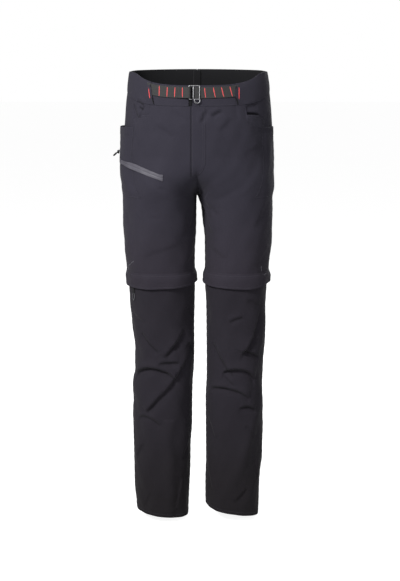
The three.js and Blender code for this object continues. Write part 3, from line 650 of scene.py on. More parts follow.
def make_fade():
    """Mask that rises smoothly from one height to another, broken up by noise."""
    tree, start, end = effect(
        "fade", {"Vector": "vector", "From": "value", "To": "value"}, {"Mask": "value"}
    )
    split = place_node(tree, "ShaderNodeSeparateXYZ", [start.outputs["Vector"]])
    ramp = place_node(tree, "ShaderNodeMapRange", interpolation_type="SMOOTHSTEP")
    connect(tree, split.outputs[2], ramp.inputs["Value"])
    connect(tree, start.outputs["From"], ramp.inputs["From Min"])
    connect(tree, start.outputs["To"], ramp.inputs["From Max"])
    broken = calculate(tree, "MULTIPLY_ADD", noise(tree, start.outputs["Vector"], 14), 0.5, 0.75)
    mask = place_node(
        tree, "ShaderNodeMath", [ramp.outputs[0], broken], operation="MULTIPLY", use_clamp=True
    )
    connect(tree, mask.outputs[0], end.inputs["Mask"])
    return tree


TWILL, CRUMPLE, FADE = make_twill(), make_crumple(), make_fade()


def apply_effect(tree, group, **values):
    node = place_node(tree, "ShaderNodeGroup", node_tree=group)
    for name, value in values.items():
        connect(tree, value, node.inputs[name])
    return node


def blend_colors(tree, factor, first, second):
    node = place_node(tree, "ShaderNodeMix", data_type="RGBA")
    connect(tree, factor, node.inputs["Factor"])
    connect(tree, first, node.inputs[6])
    connect(tree, second, node.inputs[7])
    return node.outputs[2]


def new_material(name, roughness, specular=0.25, metallic=0.0, sheen=0.0):
    """A material with its shader's constants set, and its coordinates."""
    material = bpy.data.materials.new(name)
    material.use_nodes = True
    tree = material.node_tree
    shader = tree.nodes["Principled BSDF"]
    shader.inputs["Roughness"].default_value = roughness
    shader.inputs["Specular IOR Level"].default_value = specular
    shader.inputs["Metallic"].default_value = metallic
    shader.inputs["Sheen Weight"].default_value = sheen
    shader.inputs["Sheen Roughness"].default_value = 0.5
    return material, tree, shader, tree.nodes.new("ShaderNodeTexCoord")


def bump(tree, shader, layers):
    """Heights in metres, one bump on the next, into the shader's normal."""
    normal = None
    for height, distance, strength in layers:
        node = place_node(tree, "ShaderNodeBump")
        node.inputs["Strength"].default_value = strength
        node.inputs["Distance"].default_value = distance
        connect(tree, height, node.inputs["Height"])
        connect(tree, normal, node.inputs["Normal"])
        normal = node.outputs["Normal"]
    connect(tree, normal, shader.inputs["Normal"])


def mottled(tree, shader, where, dark, light, size):
    """Base colour of two shades mixed by the crumple's mottling. It gives the crumple back."""
    crumple = apply_effect(tree, CRUMPLE, Vector=where.outputs["Object"], Size=size)
    color = blend_colors(tree, crumple.outputs["Mottle"], dark, light)
    connect(tree, color, shader.inputs["Base Color"])
    return crumple


def darker(color, share):
    return tuple(share * value for value in color[:3]) + (1,)


GAP_SHADE = 0.35  # painted shade: how far cloth darkens in the low places between the yarns
TUCK_SHADE = 0.75  # painted shade: how far cloth darkens where it tucks under a crease's lip
TWILL_BUMP = (0.00012, 0.5)  # depth in metres and strength


def woven(name, dark, light, yarns, roughness=0.85, sheen=0.05, specular=0.2, lower_tone=None):
    """Twill cloth: two tones mixed by the mottling, with painted shade between the yarns and
    where the cloth tucks under a crease's lip. Its last argument, if given, is a colour with
    the two heights between which it fades in towards the bottom."""
    material, tree, shader, where = new_material(name, roughness, specular, sheen=sheen)
    twill = apply_effect(tree, TWILL, Vector=where.outputs["UV"], Yarns=yarns)
    crumple = apply_effect(tree, CRUMPLE, Vector=where.outputs["Object"], Size=0.045)
    color = blend_colors(tree, crumple.outputs["Mottle"], dark, light)
    # Colour that fades in towards the bottom
    if lower_tone is not None:
        shade, start, end = lower_tone
        fade = apply_effect(tree, FADE, Vector=where.outputs["Object"], From=start, To=end)
        color = blend_colors(tree, fade.outputs["Mask"], color, shade)
    # Painted shade in the low places between the yarns
    shadow = calculate(tree, "MULTIPLY", twill.outputs["Gaps"], GAP_SHADE)
    color = blend_colors(tree, shadow, color, darker(dark, 0.4))
    # Painted shade of the creases, read from the points of each piece
    painted_shade = place_node(tree, "ShaderNodeAttribute", attribute_name="painted_shade").outputs["Fac"]
    painted_shade = calculate(tree, "MULTIPLY", painted_shade, TUCK_SHADE)
    color = blend_colors(tree, painted_shade, color, darker(dark, 0.25))
    connect(tree, color, shader.inputs["Base Color"])
    heights = [(crumple.outputs["Height"], 0.0012, 0.35), (twill.outputs["Height"], *TWILL_BUMP)]
    bump(tree, shader, heights)
    return material


RIB = 0.0021  # width of one rib, in metres


def ribbed_webbing():
    """Webbing with fine ribs along the belt, |sin| of the place across it, and a twill over
    them. Its colour is darker in the grooves between the ribs: painted shade."""
    material, tree, shader, where = new_material("webbing", 0.75, 0.3, sheen=0.08)
    split = place_node(tree, "ShaderNodeSeparateXYZ", [where.outputs["UV"]])
    across_belt = calculate(tree, "MULTIPLY", split.outputs[1], np.pi / RIB)
    rib = calculate(tree, "ABSOLUTE", calculate(tree, "SINE", across_belt))
    twill = apply_effect(tree, TWILL, Vector=where.outputs["UV"], Yarns=900.0)
    crumple = apply_effect(tree, CRUMPLE, Vector=where.outputs["Object"], Size=0.02)
    # Painted shade: darker in the grooves between the ribs, lighter on their tops
    color = blend_colors(tree, rib, linear(38, 38, 39), linear(62, 62, 62))
    color = blend_colors(tree, crumple.outputs["Mottle"], color, linear(49, 49, 49))
    connect(tree, color, shader.inputs["Base Color"])
    bump(tree, shader, [(rib, 0.0003, 0.6), (twill.outputs["Height"], *TWILL_BUMP)])
    return material


def thread(name, color, shade, sheen=0.2):
    """Sewing thread: two tones mottled on the object's own coordinates, with a fine bump."""
    material, tree, shader, where = new_material(name, 0.6, 0.35, sheen=sheen)
    crumple = mottled(tree, shader, where, color, shade, 0.0008)
    bump(tree, shader, [(crumple.outputs["Height"], 0.0002, 0.5)])
    return material


def coated_tape():
    """Laminated tape of the thigh zip: a smooth film with a faint grain."""
    material, tree, shader, where = new_material("laminated_tape", 0.5, 0.35)
    crumple = mottled(tree, shader, where, linear(74, 72, 80), linear(92, 90, 98), 0.012)
    twill = apply_effect(tree, TWILL, Vector=where.outputs["UV"], Yarns=1300.0)
    heights = [(crumple.outputs["Height"], 0.0005, 0.3), (twill.outputs["Height"], 0.00006, 0.4)]
    bump(tree, shader, heights)
    return material


def satin_metal():
    """Bead-blasted wire of the hook: fine grain in its height and roughness."""
    material, tree, shader, where = new_material("satin_metal", 0.34, 0.5, metallic=0.85)
    crumple = mottled(tree, shader, where, linear(138, 138, 140), linear(176, 176, 178), 0.0025)
    rough = calculate(tree, "MULTIPLY_ADD", crumple.outputs["Mottle"], 0.3, 0.22)
    connect(tree, rough, shader.inputs["Roughness"])
    bump(tree, shader, [(crumple.outputs["Height"], 0.00006, 0.5)])
    return material


def moulded(name, dark, light, roughness=0.5):
    """Moulded nylon or rubber with a fine pebbled skin."""
    material, tree, shader, where = new_material(name, roughness, 0.4)
    crumple = mottled(tree, shader, where, dark, light, 0.0012)
    bump(tree, shader, [(crumple.outputs["Height"], 0.00012, 0.6)])
    return material


def floor_paint():
    """Plain pale floor with a barely seen unevenness."""
    material, tree, shader, where = new_material("studio_floor", 0.9, 0.1)
    shader.inputs["Emission Color"].default_value = (1, 1, 1, 1)
    seen = place_node(tree, "ShaderNodeLightPath").outputs["Is Camera Ray"]
    connect(tree, calculate(tree, "MULTIPLY", seen, 0.9), shader.inputs["Emission Strength"])
    mottled(tree, shader, where, (0.42, 0.42, 0.42, 1), (0.45, 0.45, 0.45, 1), 0.6)
    return material


THIGH_CLOTH = woven(
    "thigh_cloth", linear(47, 45, 54), linear(56, 54, 64), 1500.0,
    lower_tone=(linear(51, 47, 55), -0.2, -0.5),
)
LOWER_CLOTH = woven(
    "lower_cloth", linear(39, 36, 43), linear(46, 43, 50), 1500.0,
    lower_tone=(linear(34, 31, 34), -0.7, -1.05),
)
FACING_CLOTH = woven("facing_cloth", linear(46, 44, 53), linear(55, 53, 63), 1500.0)
LINING_CLOTH = woven("lining_cloth", linear(28, 28, 30), linear(38, 38, 40), 1100.0, roughness=0.95)
WEBBING = ribbed_webbing()
RED_THREAD = thread("red_thread", linear(212, 60, 66), linear(228, 92, 92))
DARK_THREAD = thread("dark_thread", linear(42, 41, 50), linear(66, 64, 76), sheen=0.1)
TAPE = coated_tape()
METAL = satin_metal()
COIL = moulded("zip_coil", linear(20, 20, 22), linear(34, 34, 36), 0.45)
RUBBER = moulded("pull_rubber", linear(22, 22, 24), linear(38, 38, 41), 0.6)
# Thread coloured light as painted highlight on the knee seams
HIGHLIGHT_THREAD = thread("highlight_thread", linear(104, 103, 110), linear(134, 133, 140))
LOOP = moulded("pull_loop", linear(84, 84, 88), linear(112, 112, 116), 0.5)
FLOOR = floor_paint()

# Trouser legs

LOWER_CELL = 2.6  # grid of the lower legs, whose creases are the sharpest
FACING_CELL = 1.7
STRAIGHT_FROM = -120  # rows are level from here down
SLOPED = 60  # least length of the part above it, for which its rows are spaced
THIGH_END = -455
KNEE_ZIP_END = -469
POCKET_START = 72
POCKET_STEP = 2
HEM = {
    "height": {"right": -1049, "left": -1043},
    "tilt": {"right": -9, "left": 12.5},  # how much higher the inner seam's end is
    "back_drop": 4,
    "depth": 22,
    "wall": 2,
}
KNEE_FLAP = table(
    "height lift wall",
    (-438, 0.05, 0.8), (-441, 0.2, 1.2), (-444, 0.9, 1.6), (-449, 2.3, 1.8), (-456, 3.2, 1.8),
    (-466, 3.5, 1.8), (-474, 3.6, 2),
)


def half_shares(length, cell=CELL):
    """Shares from 0 to 1, with closer lines beside the start only."""
    edge = np.array(EDGE_LINES) / length
    return np.concatenate([edge, np.linspace(edge[-1], 1, int(length / cell) + 1)[1:]])


def thigh_heights(top):
    """Heights of a thigh panel's grid: even steps down to the level rows, then level."""
    upper = half_shares(SLOPED)[:-1, None]
    first = top[None, :] - SEAM + (STRAIGHT_FROM - top[None, :] + SEAM) * upper
    lower = 1 - half_shares(STRAIGHT_FROM - THIGH_END)[::-1, None]
    level = STRAIGHT_FROM + (THIGH_END + SEAM - STRAIGHT_FROM) * lower
    return np.concatenate([first, np.broadcast_to(level, (len(lower), len(top)))])


def waist_seam(angle):
    return smooth_value(WAIST, "turn", "seam", angle / 2)


def pocket_mouth(angle):
    return smooth_value(POCKET_MOUTH, "angle", "height", angle)


def panel_top(angle):
    """Upper edge of the front panel: the waist seam, then one steep step to the mouth."""
    step = np.clip((angle - POCKET_START) / POCKET_STEP, 0, 1)
    return waist_seam(angle) * (1 - step) + pocket_mouth(angle) * step


BESIDE_FLY = np.arange(4, 15, 0.7)  # angles of the closer columns there
FLY_EDGE = {"outside": 1.2, "width": 1.4, "dip": 0.8}  # band beside the fly's edge where the cloth dips, and the dip; painted shade darkens the same band
MOUTH_GAPE = {"right": 0.15, "left": 2.6}
MOUTH_FALL = 9
FACING = {"before": 6, "below": 14, "behind": 0.3, "under": 1.3, "hollow": 2.6}


def mouth_open(angle):
    """One along the level edge of the pocket's mouth, nothing beyond it."""
    return smoothstep(72.5, 75.5, angle) * smoothstep(124, 86, angle)


def mouth_lift(side, angle, height):
    """How far the pocket's mouth gapes, falling off as exp(-(d/9)^2) below its edge."""
    fall = np.exp(-(((panel_top(angle) - height) / MOUTH_FALL) ** 2))
    return MOUTH_GAPE[side] * mouth_open(angle) * fall


def front_panel(side):
    """Front of a thigh. On the right it dips beside the fly's edge, as exp(-((x-x0)/1.4)^2),
    and painted shade darkens it there along the same curve."""
    step = [POCKET_START, POCKET_START + POCKET_STEP]
    angle = np.unique(np.round(np.concatenate([angle_lines(0, 180), BESIDE_FLY, step]), 4))
    height = thigh_heights(panel_top(angle))
    angle = np.broadcast_to(angle, height.shape)
    painted_shade = crease_shade(side, angle, height)
    lift = mouth_lift(side, angle, height) - CLOTH
    if side == "right":
        x = surface(side, angle, height)[0][..., 0]
        beside = np.exp(-(((x - FLY_LAP + FLY_EDGE["outside"]) / FLY_EDGE["width"]) ** 2))
        beside = beside * smoothstep(FLY["bottom"] - 4, FLY["bottom"] + 3, height)
        # Painted shade in the band beside the fly's edge, where the cloth also dips
        lift, painted_shade = lift - FLY_EDGE["dip"] * beside, np.maximum(painted_shade, beside)
    piece = leg_cloth(f"front_cloth_{side}", side, angle, height, THIGH_CLOTH, painted_shade, lift=lift)
    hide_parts(f"front_panel_{side}")


def back_panel(side):
    angle = angle_lines(180, 360)
    height = thigh_heights(waist_seam(angle))
    piece = leg_cloth(f"back_cloth_{side}", side, angle, height, THIGH_CLOTH)
    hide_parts(f"back_panel_{side}")


def pocket_facing(side):
    """Cloth behind the pocket's mouth. It turns inward above the mouth's edge and dips under
    the panel beyond it. Painted shade darkens the hollow at the mouth's edge."""
    angle = angle_lines(POCKET_START - FACING["before"], 179.5, FACING_CELL)
    share = piece_shares(50, FACING_CELL)[:, None]
    top, bottom = waist_seam(angle) - SEAM, pocket_mouth(angle) - FACING["below"]
    height = top + (bottom - top) * share
    angle = np.broadcast_to(angle, height.shape)
    above = height - pocket_mouth(angle)
    before = smoothstep(POCKET_START + 4, POCKET_START - 1, angle)
    under = np.maximum(smoothstep(1, -6, above), before)
    hollow = smoothstep(7, 1, above) * smoothstep(-14, -4, above) * mouth_open(angle)
    lift = -CLOTH - FACING["behind"] - FACING["under"] * under
    lift = lift - FACING["hollow"] * MOUTH_GAPE[side] * hollow
    # Painted shade in the hollow behind the pocket's mouth
    painted_shade = np.maximum(crease_shade(side, angle, height), MOUTH_GAPE[side] / 3 * hollow)
    piece = leg_cloth(f"pocket_back_{side}", side, angle, height, FACING_CLOTH, painted_shade, lift=lift)
    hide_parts(f"pocket_facing_{side}")


def hem_height(side, angle):
    backward = np.maximum(-sine(angle), 0)
    return HEM["height"][side] + HEM["tilt"][side] * cosine(angle) - HEM["back_drop"] * backward


def lower_leg(side, start):
    """Half of a lower leg from the knee zip to the hem, where the cloth is doubled."""
    face = "front" if start == 0 else "back"
    angle = angle_lines(start, start + 180, LOWER_CELL)
    bottom = hem_height(side, angle)
    share = piece_shares(KNEE_ZIP_END - HEM["height"][side], LOWER_CELL)[:, None]
    top = KNEE_ZIP_END - SEAM
    height = top + (bottom - top) * share
    doubled = smoothstep(HEM["depth"] + 1, HEM["depth"] - 1, height - bottom)
    wall = CLOTH + (HEM["wall"] - CLOTH) * doubled
    name = f"lower_{face}_cloth_{side}"
    piece = leg_cloth(name, side, angle, height, LOWER_CLOTH, wall=wall, lift=-wall)
    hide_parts(f"lower_leg_{face}_{side}")


def ring_angles(cell=CELL):
    count = int(360 * ARC / cell)
    return np.linspace(0, 360, count + 1)[:-1]


def ring_uv(angle, height):
    """Millimetres of cloth for a ring, whose first column comes again as its last."""
    closed = np.append(angle, 360)
    column = height[:, :1] if height.shape[1] == 1 else np.concatenate([height, height[:, :1]], axis=1)
    return cloth_uv(np.broadcast_to(closed, (len(height), len(closed))), column)


# Zip round the knee: how far its tape goes under the cloth, and its teeth
KNEE_ZIP = {"under": 6, "below": 0.3, "wall": 0.8, "rows": 9}
TOOTH = {"pitch": 2.4, "apart": 1.1, "lift": 0.4, "size": (1.3, 3.2, 1.4), "crown": 0.8}
BOX_FACES = np.array(
    [(0, 2, 3, 1), (4, 5, 7, 6), (0, 1, 5, 4), (2, 6, 7, 3), (0, 4, 6, 2), (1, 3, 7, 5)]
)


def knee_zip(side):
    """Tape of the knee zip and its two rows of small teeth, which mesh in the middle."""
    angle = ring_angles()
    rows, under = KNEE_ZIP["rows"], KNEE_ZIP["under"]
    height = np.linspace(THIGH_END + under, KNEE_ZIP_END - under, rows)[:, None]
    place = surface(side, np.broadcast_to(angle, (rows, len(angle))), height)
    tape = shell(
        f"knee_zip_tape_{side}", place, DARK_THREAD, ring_uv(angle, height), ring=True,
        lift=-CLOTH - KNEE_ZIP["below"], wall=KNEE_ZIP["wall"],
    )
    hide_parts(f"knee_zip_{side}")
    knee_zip_teeth(side)


def knee_zip_teeth(side):
    """Boxes in two rows by turns, whose outer faces are drawn in."""
    turns = np.arange(4, 356, TOOTH["pitch"] / ARC)
    middle = (THIGH_END + KNEE_ZIP_END) / 2
    row = np.where(np.arange(len(turns)) % 2 == 0, TOOTH["apart"], -TOOTH["apart"])
    point, normal = surface(side, turns, middle + row)
    beside, _ = surface(side, turns + 0.5, middle)
    along = unit(beside - surface(side, turns - 0.5, middle)[0])
    corners = np.array([(x, y, z) for z in (-1, 1) for y in (-1, 1) for x in (-1, 1)], float)
    corners[4:, :2] *= TOOTH["crown"]
    box = corners * np.array(TOOTH["size"]) / 2
    centre = point + normal * TOOTH["lift"]
    points, faces = copies(box, BOX_FACES, centre, along, np.cross(normal, along), normal)
    teeth = add_piece(f"knee_zip_teeth_{side}", points, faces, COIL)


def flap_profile(name, height):
    return smooth_value(KNEE_FLAP, "height", name, height)


# Rise of the knee flap's lower edge at the side seam and at the inner seam, how far the flap
# stands out at the side seam, and the height of its eleven ripples
FLAP_TILT = {"right": (0, 6), "left": (8, 4)}
FLAP_SWELL = {"right": 0, "left": 2}
FLAP_RIPPLE = 0.35


def flap_edge(side, angle):
    """Uneven lower edge of the knee flap: raised at the seams and with two slow sines."""
    at_side, at_inner = FLAP_TILT[side]
    raised = at_side * np.maximum(-cosine(angle), 0) ** 3
    raised = raised + at_inner * np.maximum(cosine(angle), 0) ** 2
    return raised + 0.9 * sine(2 * angle + 40) + 0.6 * sine(5 * angle + 70)


def flap_swell(side, angle):
    """How far the flap stands out more: at the side seam, over the zip's ends, a little at
    the inner seam, and in ripples all round."""
    at_side = np.exp(-(((angle - 170) / 16) ** 2))
    at_inner = np.exp(-((np.minimum(angle, 360 - angle) / 14) ** 2))
    return FLAP_SWELL[side] * at_side + 0.3 * at_inner + FLAP_RIPPLE * sine(11 * angle)


def knee_flap(side):
    """Doubled cloth over the knee zip, sewn down along its upper edge."""
    angle = ring_angles()
    top, bottom = KNEE_FLAP["height"][0], KNEE_FLAP["height"][-1]
    share = piece_shares(top - bottom, 2)[:, None]
    level = top + (bottom - top) * share + 0 * angle
    height = level + flap_edge(side, angle) * smoothstep(top - 10, bottom, level)
    out = smoothstep(top - 2, top - 16, level)
    lift = flap_profile("lift", level) + out * flap_swell(side, angle)
    wall = flap_profile("wall", level)
    place = surface(side, np.broadcast_to(angle, height.shape), height)
    uvs = ring_uv(angle, height)
    piece = shell(f"knee_flap_cloth_{side}", place, THIGH_CLOTH, uvs, wall, lift, ring=True)
    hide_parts(f"knee_flap_{side}")


# Seam allowances

ALLOWANCE = {"half": 6, "wall": 0.6, "below": 0.3, "rim": 0.5}
ACROSS_SEAM = (-6, -4, -2, -0.4, 0.4, 2, 4, 6)


def seam_allowance(name, columns, height, material=None, depth=CLOTH, ring=False):
    """Doubled edges of cloth inside a seam: a strip under the surface over columns of one
    side and angle each, or of a side, an angle and heights of their own."""
    places = [surface(side, angle, height + shift) for side, angle, shift in columns]
    point = np.stack([place[0] for place in places], axis=1)
    normal = np.stack([place[1] for place in places], axis=1)
    wall = ALLOWANCE["wall"]
    lift = -depth - ALLOWANCE["below"] - wall
    count = len(columns) + (1 if ring else 0)
    uvs = np.stack(np.meshgrid(np.arange(count) * ARC, height), axis=-1)
    material = material or THIGH_CLOTH
    shell(name, (point, normal), material, uvs, wall, lift, ring, ALLOWANCE["rim"])


def centre_columns(angle_of):
    """Columns across a centre seam, from the right leg over to the left."""
    return [("right" if x < 0 else "left", angle_of(abs(x) / ARC), 0) for x in ACROSS_SEAM]


def leg_columns(side, middle):
    return [(side, (middle + x / ARC) % 360, 0) for x in ACROSS_SEAM]


def seam_allowances():
    """Centre front and back, inner and side seams, and the waist seam all round."""
    front, back = centre_columns(lambda turn: turn), centre_columns(lambda turn: 360 - turn)
    seam_allowance("centre_front_allowance", front, np.linspace(-56, CROTCH + 1, 70))
    seam_allowance("centre_back_allowance", back, np.linspace(-12, CROTCH + 1, 80))
    for side in SIDES:
        for seam, middle, top in (("inner", 0, CROTCH), ("side", 180, -14)):
            columns = leg_columns(side, middle)
            high = np.linspace(top, THIGH_END, 90)
            low = np.linspace(KNEE_ZIP_END - 1, float(hem_height(side, middle)) + 2, 160)
            seam_allowance(f"thigh_{seam}_allowance_{side}", columns, high)
            seam_allowance(f"lower_{seam}_allowance_{side}", columns, low, LOWER_CLOTH)
    angles = np.linspace(0.3, 359.7, 90)
    around = [("left", angle, float(waist_seam(angle))) for angle in angles]
    around += [("right", angle, float(waist_seam(angle))) for angle in angles[::-1]]
    down = np.array([7, 5, 2.5, 0, -2.5, -5, -7.0])
    seam_allowance("waist_allowance", around, down, depth=2.4, ring=True)


def waist_backings():
    """Strips inside the waistband behind its seams: the slots, the fly and centre back."""
    share = np.linspace(0.04, 0.97, 24)[:, None]
    spread = np.linspace(-1, 1, 9)[None, :] * ALLOWANCE["half"] / (2 * ARC)
    for name, turn in (
        ("right_slot", -SLOT_TURN["right"]), ("left_slot", SLOT_TURN["left"]), ("fly", -FLY_TURN),
    ):
        place, uvs = waist_place(turn + spread + 0 * share, share)
        wall, rim = ALLOWANCE["wall"], ALLOWANCE["rim"]
        lift = -WAISTBAND_WALL - ALLOWANCE["below"] - wall
        shell(f"{name}_backing", place, LINING_CLOTH, uvs, wall, lift, rim=rim)
    columns = centre_columns(lambda turn: 360 - turn)
    height = np.linspace(29.5, -13, 24)
    seam_allowance("waist_back_allowance", columns, height, LINING_CLOTH, WAISTBAND_WALL - 0.2)


# Pockets and thigh zip

SEWN_WALL = 0.25  # share of the wall that is left at a sewn edge
SIDE_POCKET = {"reach": 68, "top": -102, "bottom": -262, "hem": 18, "flat": 2.1, "doubled": 0.7}
THIGH_ZIP = {"width": 15.5, "taper": 0.4, "wall": 1, "start": 51, "end": 190, "slider_angle": 184}
SLIDER = {"seat": 1.9, "base": 2.4, "pivot": 1.4}  # seat is its height over the side pocket
HANG = -55  # turns the pull tab down and forward


def side_pocket_top(side, angle, height):
    """Outer face of a side pocket above the panel: its rise at the side seam, falling as
    1 - |a|^4 towards the pocket's front and back edges."""
    share = np.minimum(np.abs(angle - 180) / SIDE_POCKET["reach"], 1)
    rise = smooth_value(SIDE_POCKET_RISE[side], "height", "rise", height)
    flat = SIDE_POCKET["flat"]
    return flat + (rise - flat) * (1 - share**4)


def pocket_sewn(angle, height):
    """Zero where a side pocket is sewn to the panel, at its front, back and lower edges, and
    one well inside them."""
    aside = (SIDE_POCKET["reach"] - np.abs(angle - 180)) * ARC
    return smoothstep(-1, 34, aside) * smoothstep(-1, 16, height - SIDE_POCKET["bottom"])


def pocket_inner(side, angle, height):
    """Inner face of a side pocket above the panel, and the share of its wall that is left."""
    sewn = pocket_sewn(angle, height)
    lift = (side_pocket_top(side, angle, height) - CLOTH) * sewn + 0.05
    return lift, SEWN_WALL + (1 - SEWN_WALL) * smoothstep(0, 0.6, sewn)


def side_pocket(side):
    """Patch pocket over the side seam. Its front, back and lower edges are drawn down onto
    the panel where they are sewn, and its upper edge is a doubled hem that stands open."""
    reach, top, bottom, hem, doubled = (
        SIDE_POCKET[name] for name in ("reach", "top", "bottom", "hem", "doubled")
    )
    angle = angle_lines(180 - reach, 180 + reach)
    height = top + (bottom - top) * piece_shares(top - bottom)[:, None] + 0 * angle
    lift, left = pocket_inner(side, angle, height)
    wall = (CLOTH + doubled * smoothstep(-hem - 1, -hem + 1, height - top)) * left
    name = f"side_pocket_cloth_{side}"
    piece = leg_cloth(name, side, angle, height, THIGH_CLOTH, wall=wall, lift=lift)
    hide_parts(f"side_pocket_{side}")


def tape_lift(angle, height):
    """Lift of the thigh zip's tape, which climbs onto the side pocket."""
    edge = 180 - SIDE_POCKET["reach"]
    on_pocket = smoothstep(edge - 16, edge - 1, angle)
    return 0.35 + (side_pocket_top("right", angle, height) - 0.1) * on_pocket


def zip_angles():
    return angle_lines(THIGH_ZIP["start"], THIGH_ZIP["end"])


def zip_shear():
    """Degrees by which a place a millimetre below the zip's middle line is turned so that
    it lies square to the line: -(a.t)/(t.t) for the line's tangent t and the way down a."""
    angle = zip_angles()
    middle = smooth_value(THIGH_ZIP_LINE, "angle", "height", angle)
    here, _ = surface("right", angle, middle, creased=False)
    below, _ = surface("right", angle, middle - 1, creased=False)
    tangent = np.gradient(here, angle, axis=0)
    return -((below - here) * tangent).sum(axis=1) / (tangent**2).sum(axis=1)


def thigh_zip_tape():
    """Laminated tape along the pocket's zip, with a groove exp(-(s/0.9)^2) down its middle
    where its two halves meet over the zip. Its rows are turned until they are square to its
    middle line, and it narrows towards the slider."""
    width = THIGH_ZIP["width"] * (1 - THIGH_ZIP["taper"] * smoothstep(110, 140, zip_angles()))
    aside = (piece_shares(THIGH_ZIP["width"], 0.7)[:, None] - 0.5) * width
    angle = zip_angles() + zip_shear() * aside
    height = smooth_value(THIGH_ZIP_LINE, "angle", "height", angle) - aside
    wall = THIGH_ZIP["wall"] - 0.7 * np.exp(-((aside / 0.9) ** 2)) + 0 * angle
    place = surface("right", angle, height)
    uvs = cloth_uv(angle, aside)
    piece = shell("thigh_zip_strip", place, TAPE, uvs, wall, tape_lift(angle, height), rim=0.6)
    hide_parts("thigh_zip_tape")


def slider_frame():
    """Place of the thigh zip's slider and its directions along the tape, across and out."""
    angle = np.array([THIGH_ZIP["slider_angle"], THIGH_ZIP["slider_angle"] + 4.0])
    middle = smooth_value(THIGH_ZIP_LINE, "angle", "height", angle)
    point, normal = surface("right", angle, middle, creased=False)
    seat = float(side_pocket_top("right", angle[0], middle[0])) + SLIDER["seat"]
    out = normal[0]
    along = point[1] - point[0]
    along = unit(along - out * (along @ out))
    return point[0] + out * seat, along, np.cross(out, along), out


# Sections of the slider and the two tabs: distance along, half the width, half the height
# and how far the middle is raised
SLIDER_BODY = (
    (-4.5, 0.01, 0.01, 1.2), (-4.4, 2.2, 0.8, 1.2), (-3.6, 2.7, 1.15, 1.2), (-1, 2.9, 1.2, 1.2),
    (1, 3.1, 1.2, 1.2), (3.4, 3.5, 1.15, 1.2), (4.3, 3.1, 0.9, 1.2), (4.5, 0.01, 0.01, 1.2),
)
SLIDER_LUG = (
    (-2.2, 0.01, 0.01, 3), (-2.1, 0.5, 0.8, 3), (-1.2, 0.6, 1.6, 3.6), (1.2, 0.6, 1.6, 3.6),
    (2.1, 0.5, 0.8, 3), (2.2, 0.01, 0.01, 3),
)
LUG_APART = 3.1
RIBBED_TAB = (
    (-1, 0.01, 0.01, 0), (-0.9, 1.1, 0.6, 0), (0, 1.7, 0.8, 0), (2.5, 1.4, 0.8, 0), (4, 1.5, 0.9, 0),
    (5.5, 2, 1.4, 0), (6.5, 2.2, 1.6, 0), (7.4, 2.15, 1.4, 0), (8.3, 2.2, 1.7, 0),
    (9.2, 2.15, 1.4, 0), (10.1, 2.2, 1.7, 0), (11, 2.1, 1.4, 0), (12, 2.2, 1.7, 0),
    (13.2, 2.15, 1.4, 0), (14.4, 2.1, 1.5, 0), (15.6, 1.7, 1.2, 0), (16.3, 0.9, 0.7, 0),
    (16.5, 0.01, 0.01, 0),
)
FLAT_TAB = (
    (0, 0.01, 0.01, 0), (0.1, 4, 0.6, 0), (1, 4.8, 0.8, 0), (5, 4.6, 0.65, 0), (8, 5.1, 0.8, 0),
    (11, 5.1, 0.65, 0), (14, 5.1, 0.8, 0), (17, 4.9, 0.7, 0), (19.5, 4, 0.6, 0),
    (20.5, 0.01, 0.01, 0),
)


def loft(origin, axes, stations, power=4, around=20):
    """Closed tube of squared sections along the first axis, |y/w|^p + |z/h|^p = 1."""
    along, aside, out = axes
    turn = np.linspace(0, 360, around, endpoint=False)
    y, z = rounded(cosine(turn), 2 / power), rounded(sine(turn), 2 / power)
    rows = np.array(stations, float)
    points = (
        origin
        + rows[:, :1, None] * along
        + (rows[:, 1:2] * y)[..., None] * aside
        + (rows[:, 2:3] * z + rows[:, 3:4])[..., None] * out
    )
    index = np.arange(points.shape[0] * around).reshape(-1, around)
    faces = grid_faces(np.concatenate([index, index[:, :1]], axis=1))
    return points.reshape(-1, 3), faces


def thigh_zip_slider():
    """Slider body, wider at its front, and the two lugs that carry its pull."""
    place, *axes = slider_frame()
    parts = [loft(place, axes, SLIDER_BODY)]
    for shift in (-LUG_APART, LUG_APART):
        parts.append(loft(place + axes[1] * shift, axes, SLIDER_LUG, power=3, around=12))
    piece = add_piece("zip_slider", *together(parts), COIL)
    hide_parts("thigh_zip_slider")


def thigh_zip_pull():
    """Moulded pull tab that hangs down and forward from the slider, ribbed at its grip."""
    place, along, aside, out = slider_frame()
    pivot = place + out * (SLIDER["base"] + SLIDER["pivot"])
    ahead = out * cosine(HANG) + along * sine(HANG)
    tab = loft(pivot, (ahead, aside, along * cosine(HANG) - out * sine(HANG)), RIBBED_TAB)
    piece = add_piece("zip_pull_tab", *tab, RUBBER, body="thigh_pull")
    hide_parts("thigh_zip_pull")


KNEE_PULL = {"angle": 143.5, "top": -472, "length": 20.5, "wall": 1.6, "lift": 0.6}

# Loop on its end: distance down the tab and to its side
PULL_LOOP = ((17, -2.6), (22, -4.4), (28, -3.4), (34, 0.6), (35.5, 2.4), (32, 4), (26, 4.2), (17, 2.2))
LOOP_WIRE = 0.65


def knee_zip_pull():
    """The knee zip's flat rubber tab, hanging out of the flap, with a thin moulded loop at
    its end."""
    angle, top, end = KNEE_PULL["angle"], KNEE_PULL["top"], KNEE_PULL["top"] - KNEE_PULL["length"]
    here, normal = surface("right", angle, top, creased=False)
    below, _ = surface("right", angle, end, creased=False)
    down = unit(below - here)
    out = unit(normal - down * (normal @ down))
    aside = np.cross(down, out)
    place = here + out * (KNEE_PULL["lift"] + KNEE_PULL["wall"] / 2)
    tab = loft(place, (down, aside, out), FLAT_TAB)
    piece = add_piece("knee_pull_tab", *tab, RUBBER, body="knee_pull")
    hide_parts("knee_zip_pull_right")
    knots = np.array([place + down * along + aside * off + out * 0.2 for along, off in PULL_LOOP])
    points, faces = tube(smooth_path(knots, 48), LOOP_WIRE, out, around=8)
    loop = add_piece("knee_pull_loop", points, faces, LOOP, body="knee_pull")


# Waistband, fly, belt and buckle

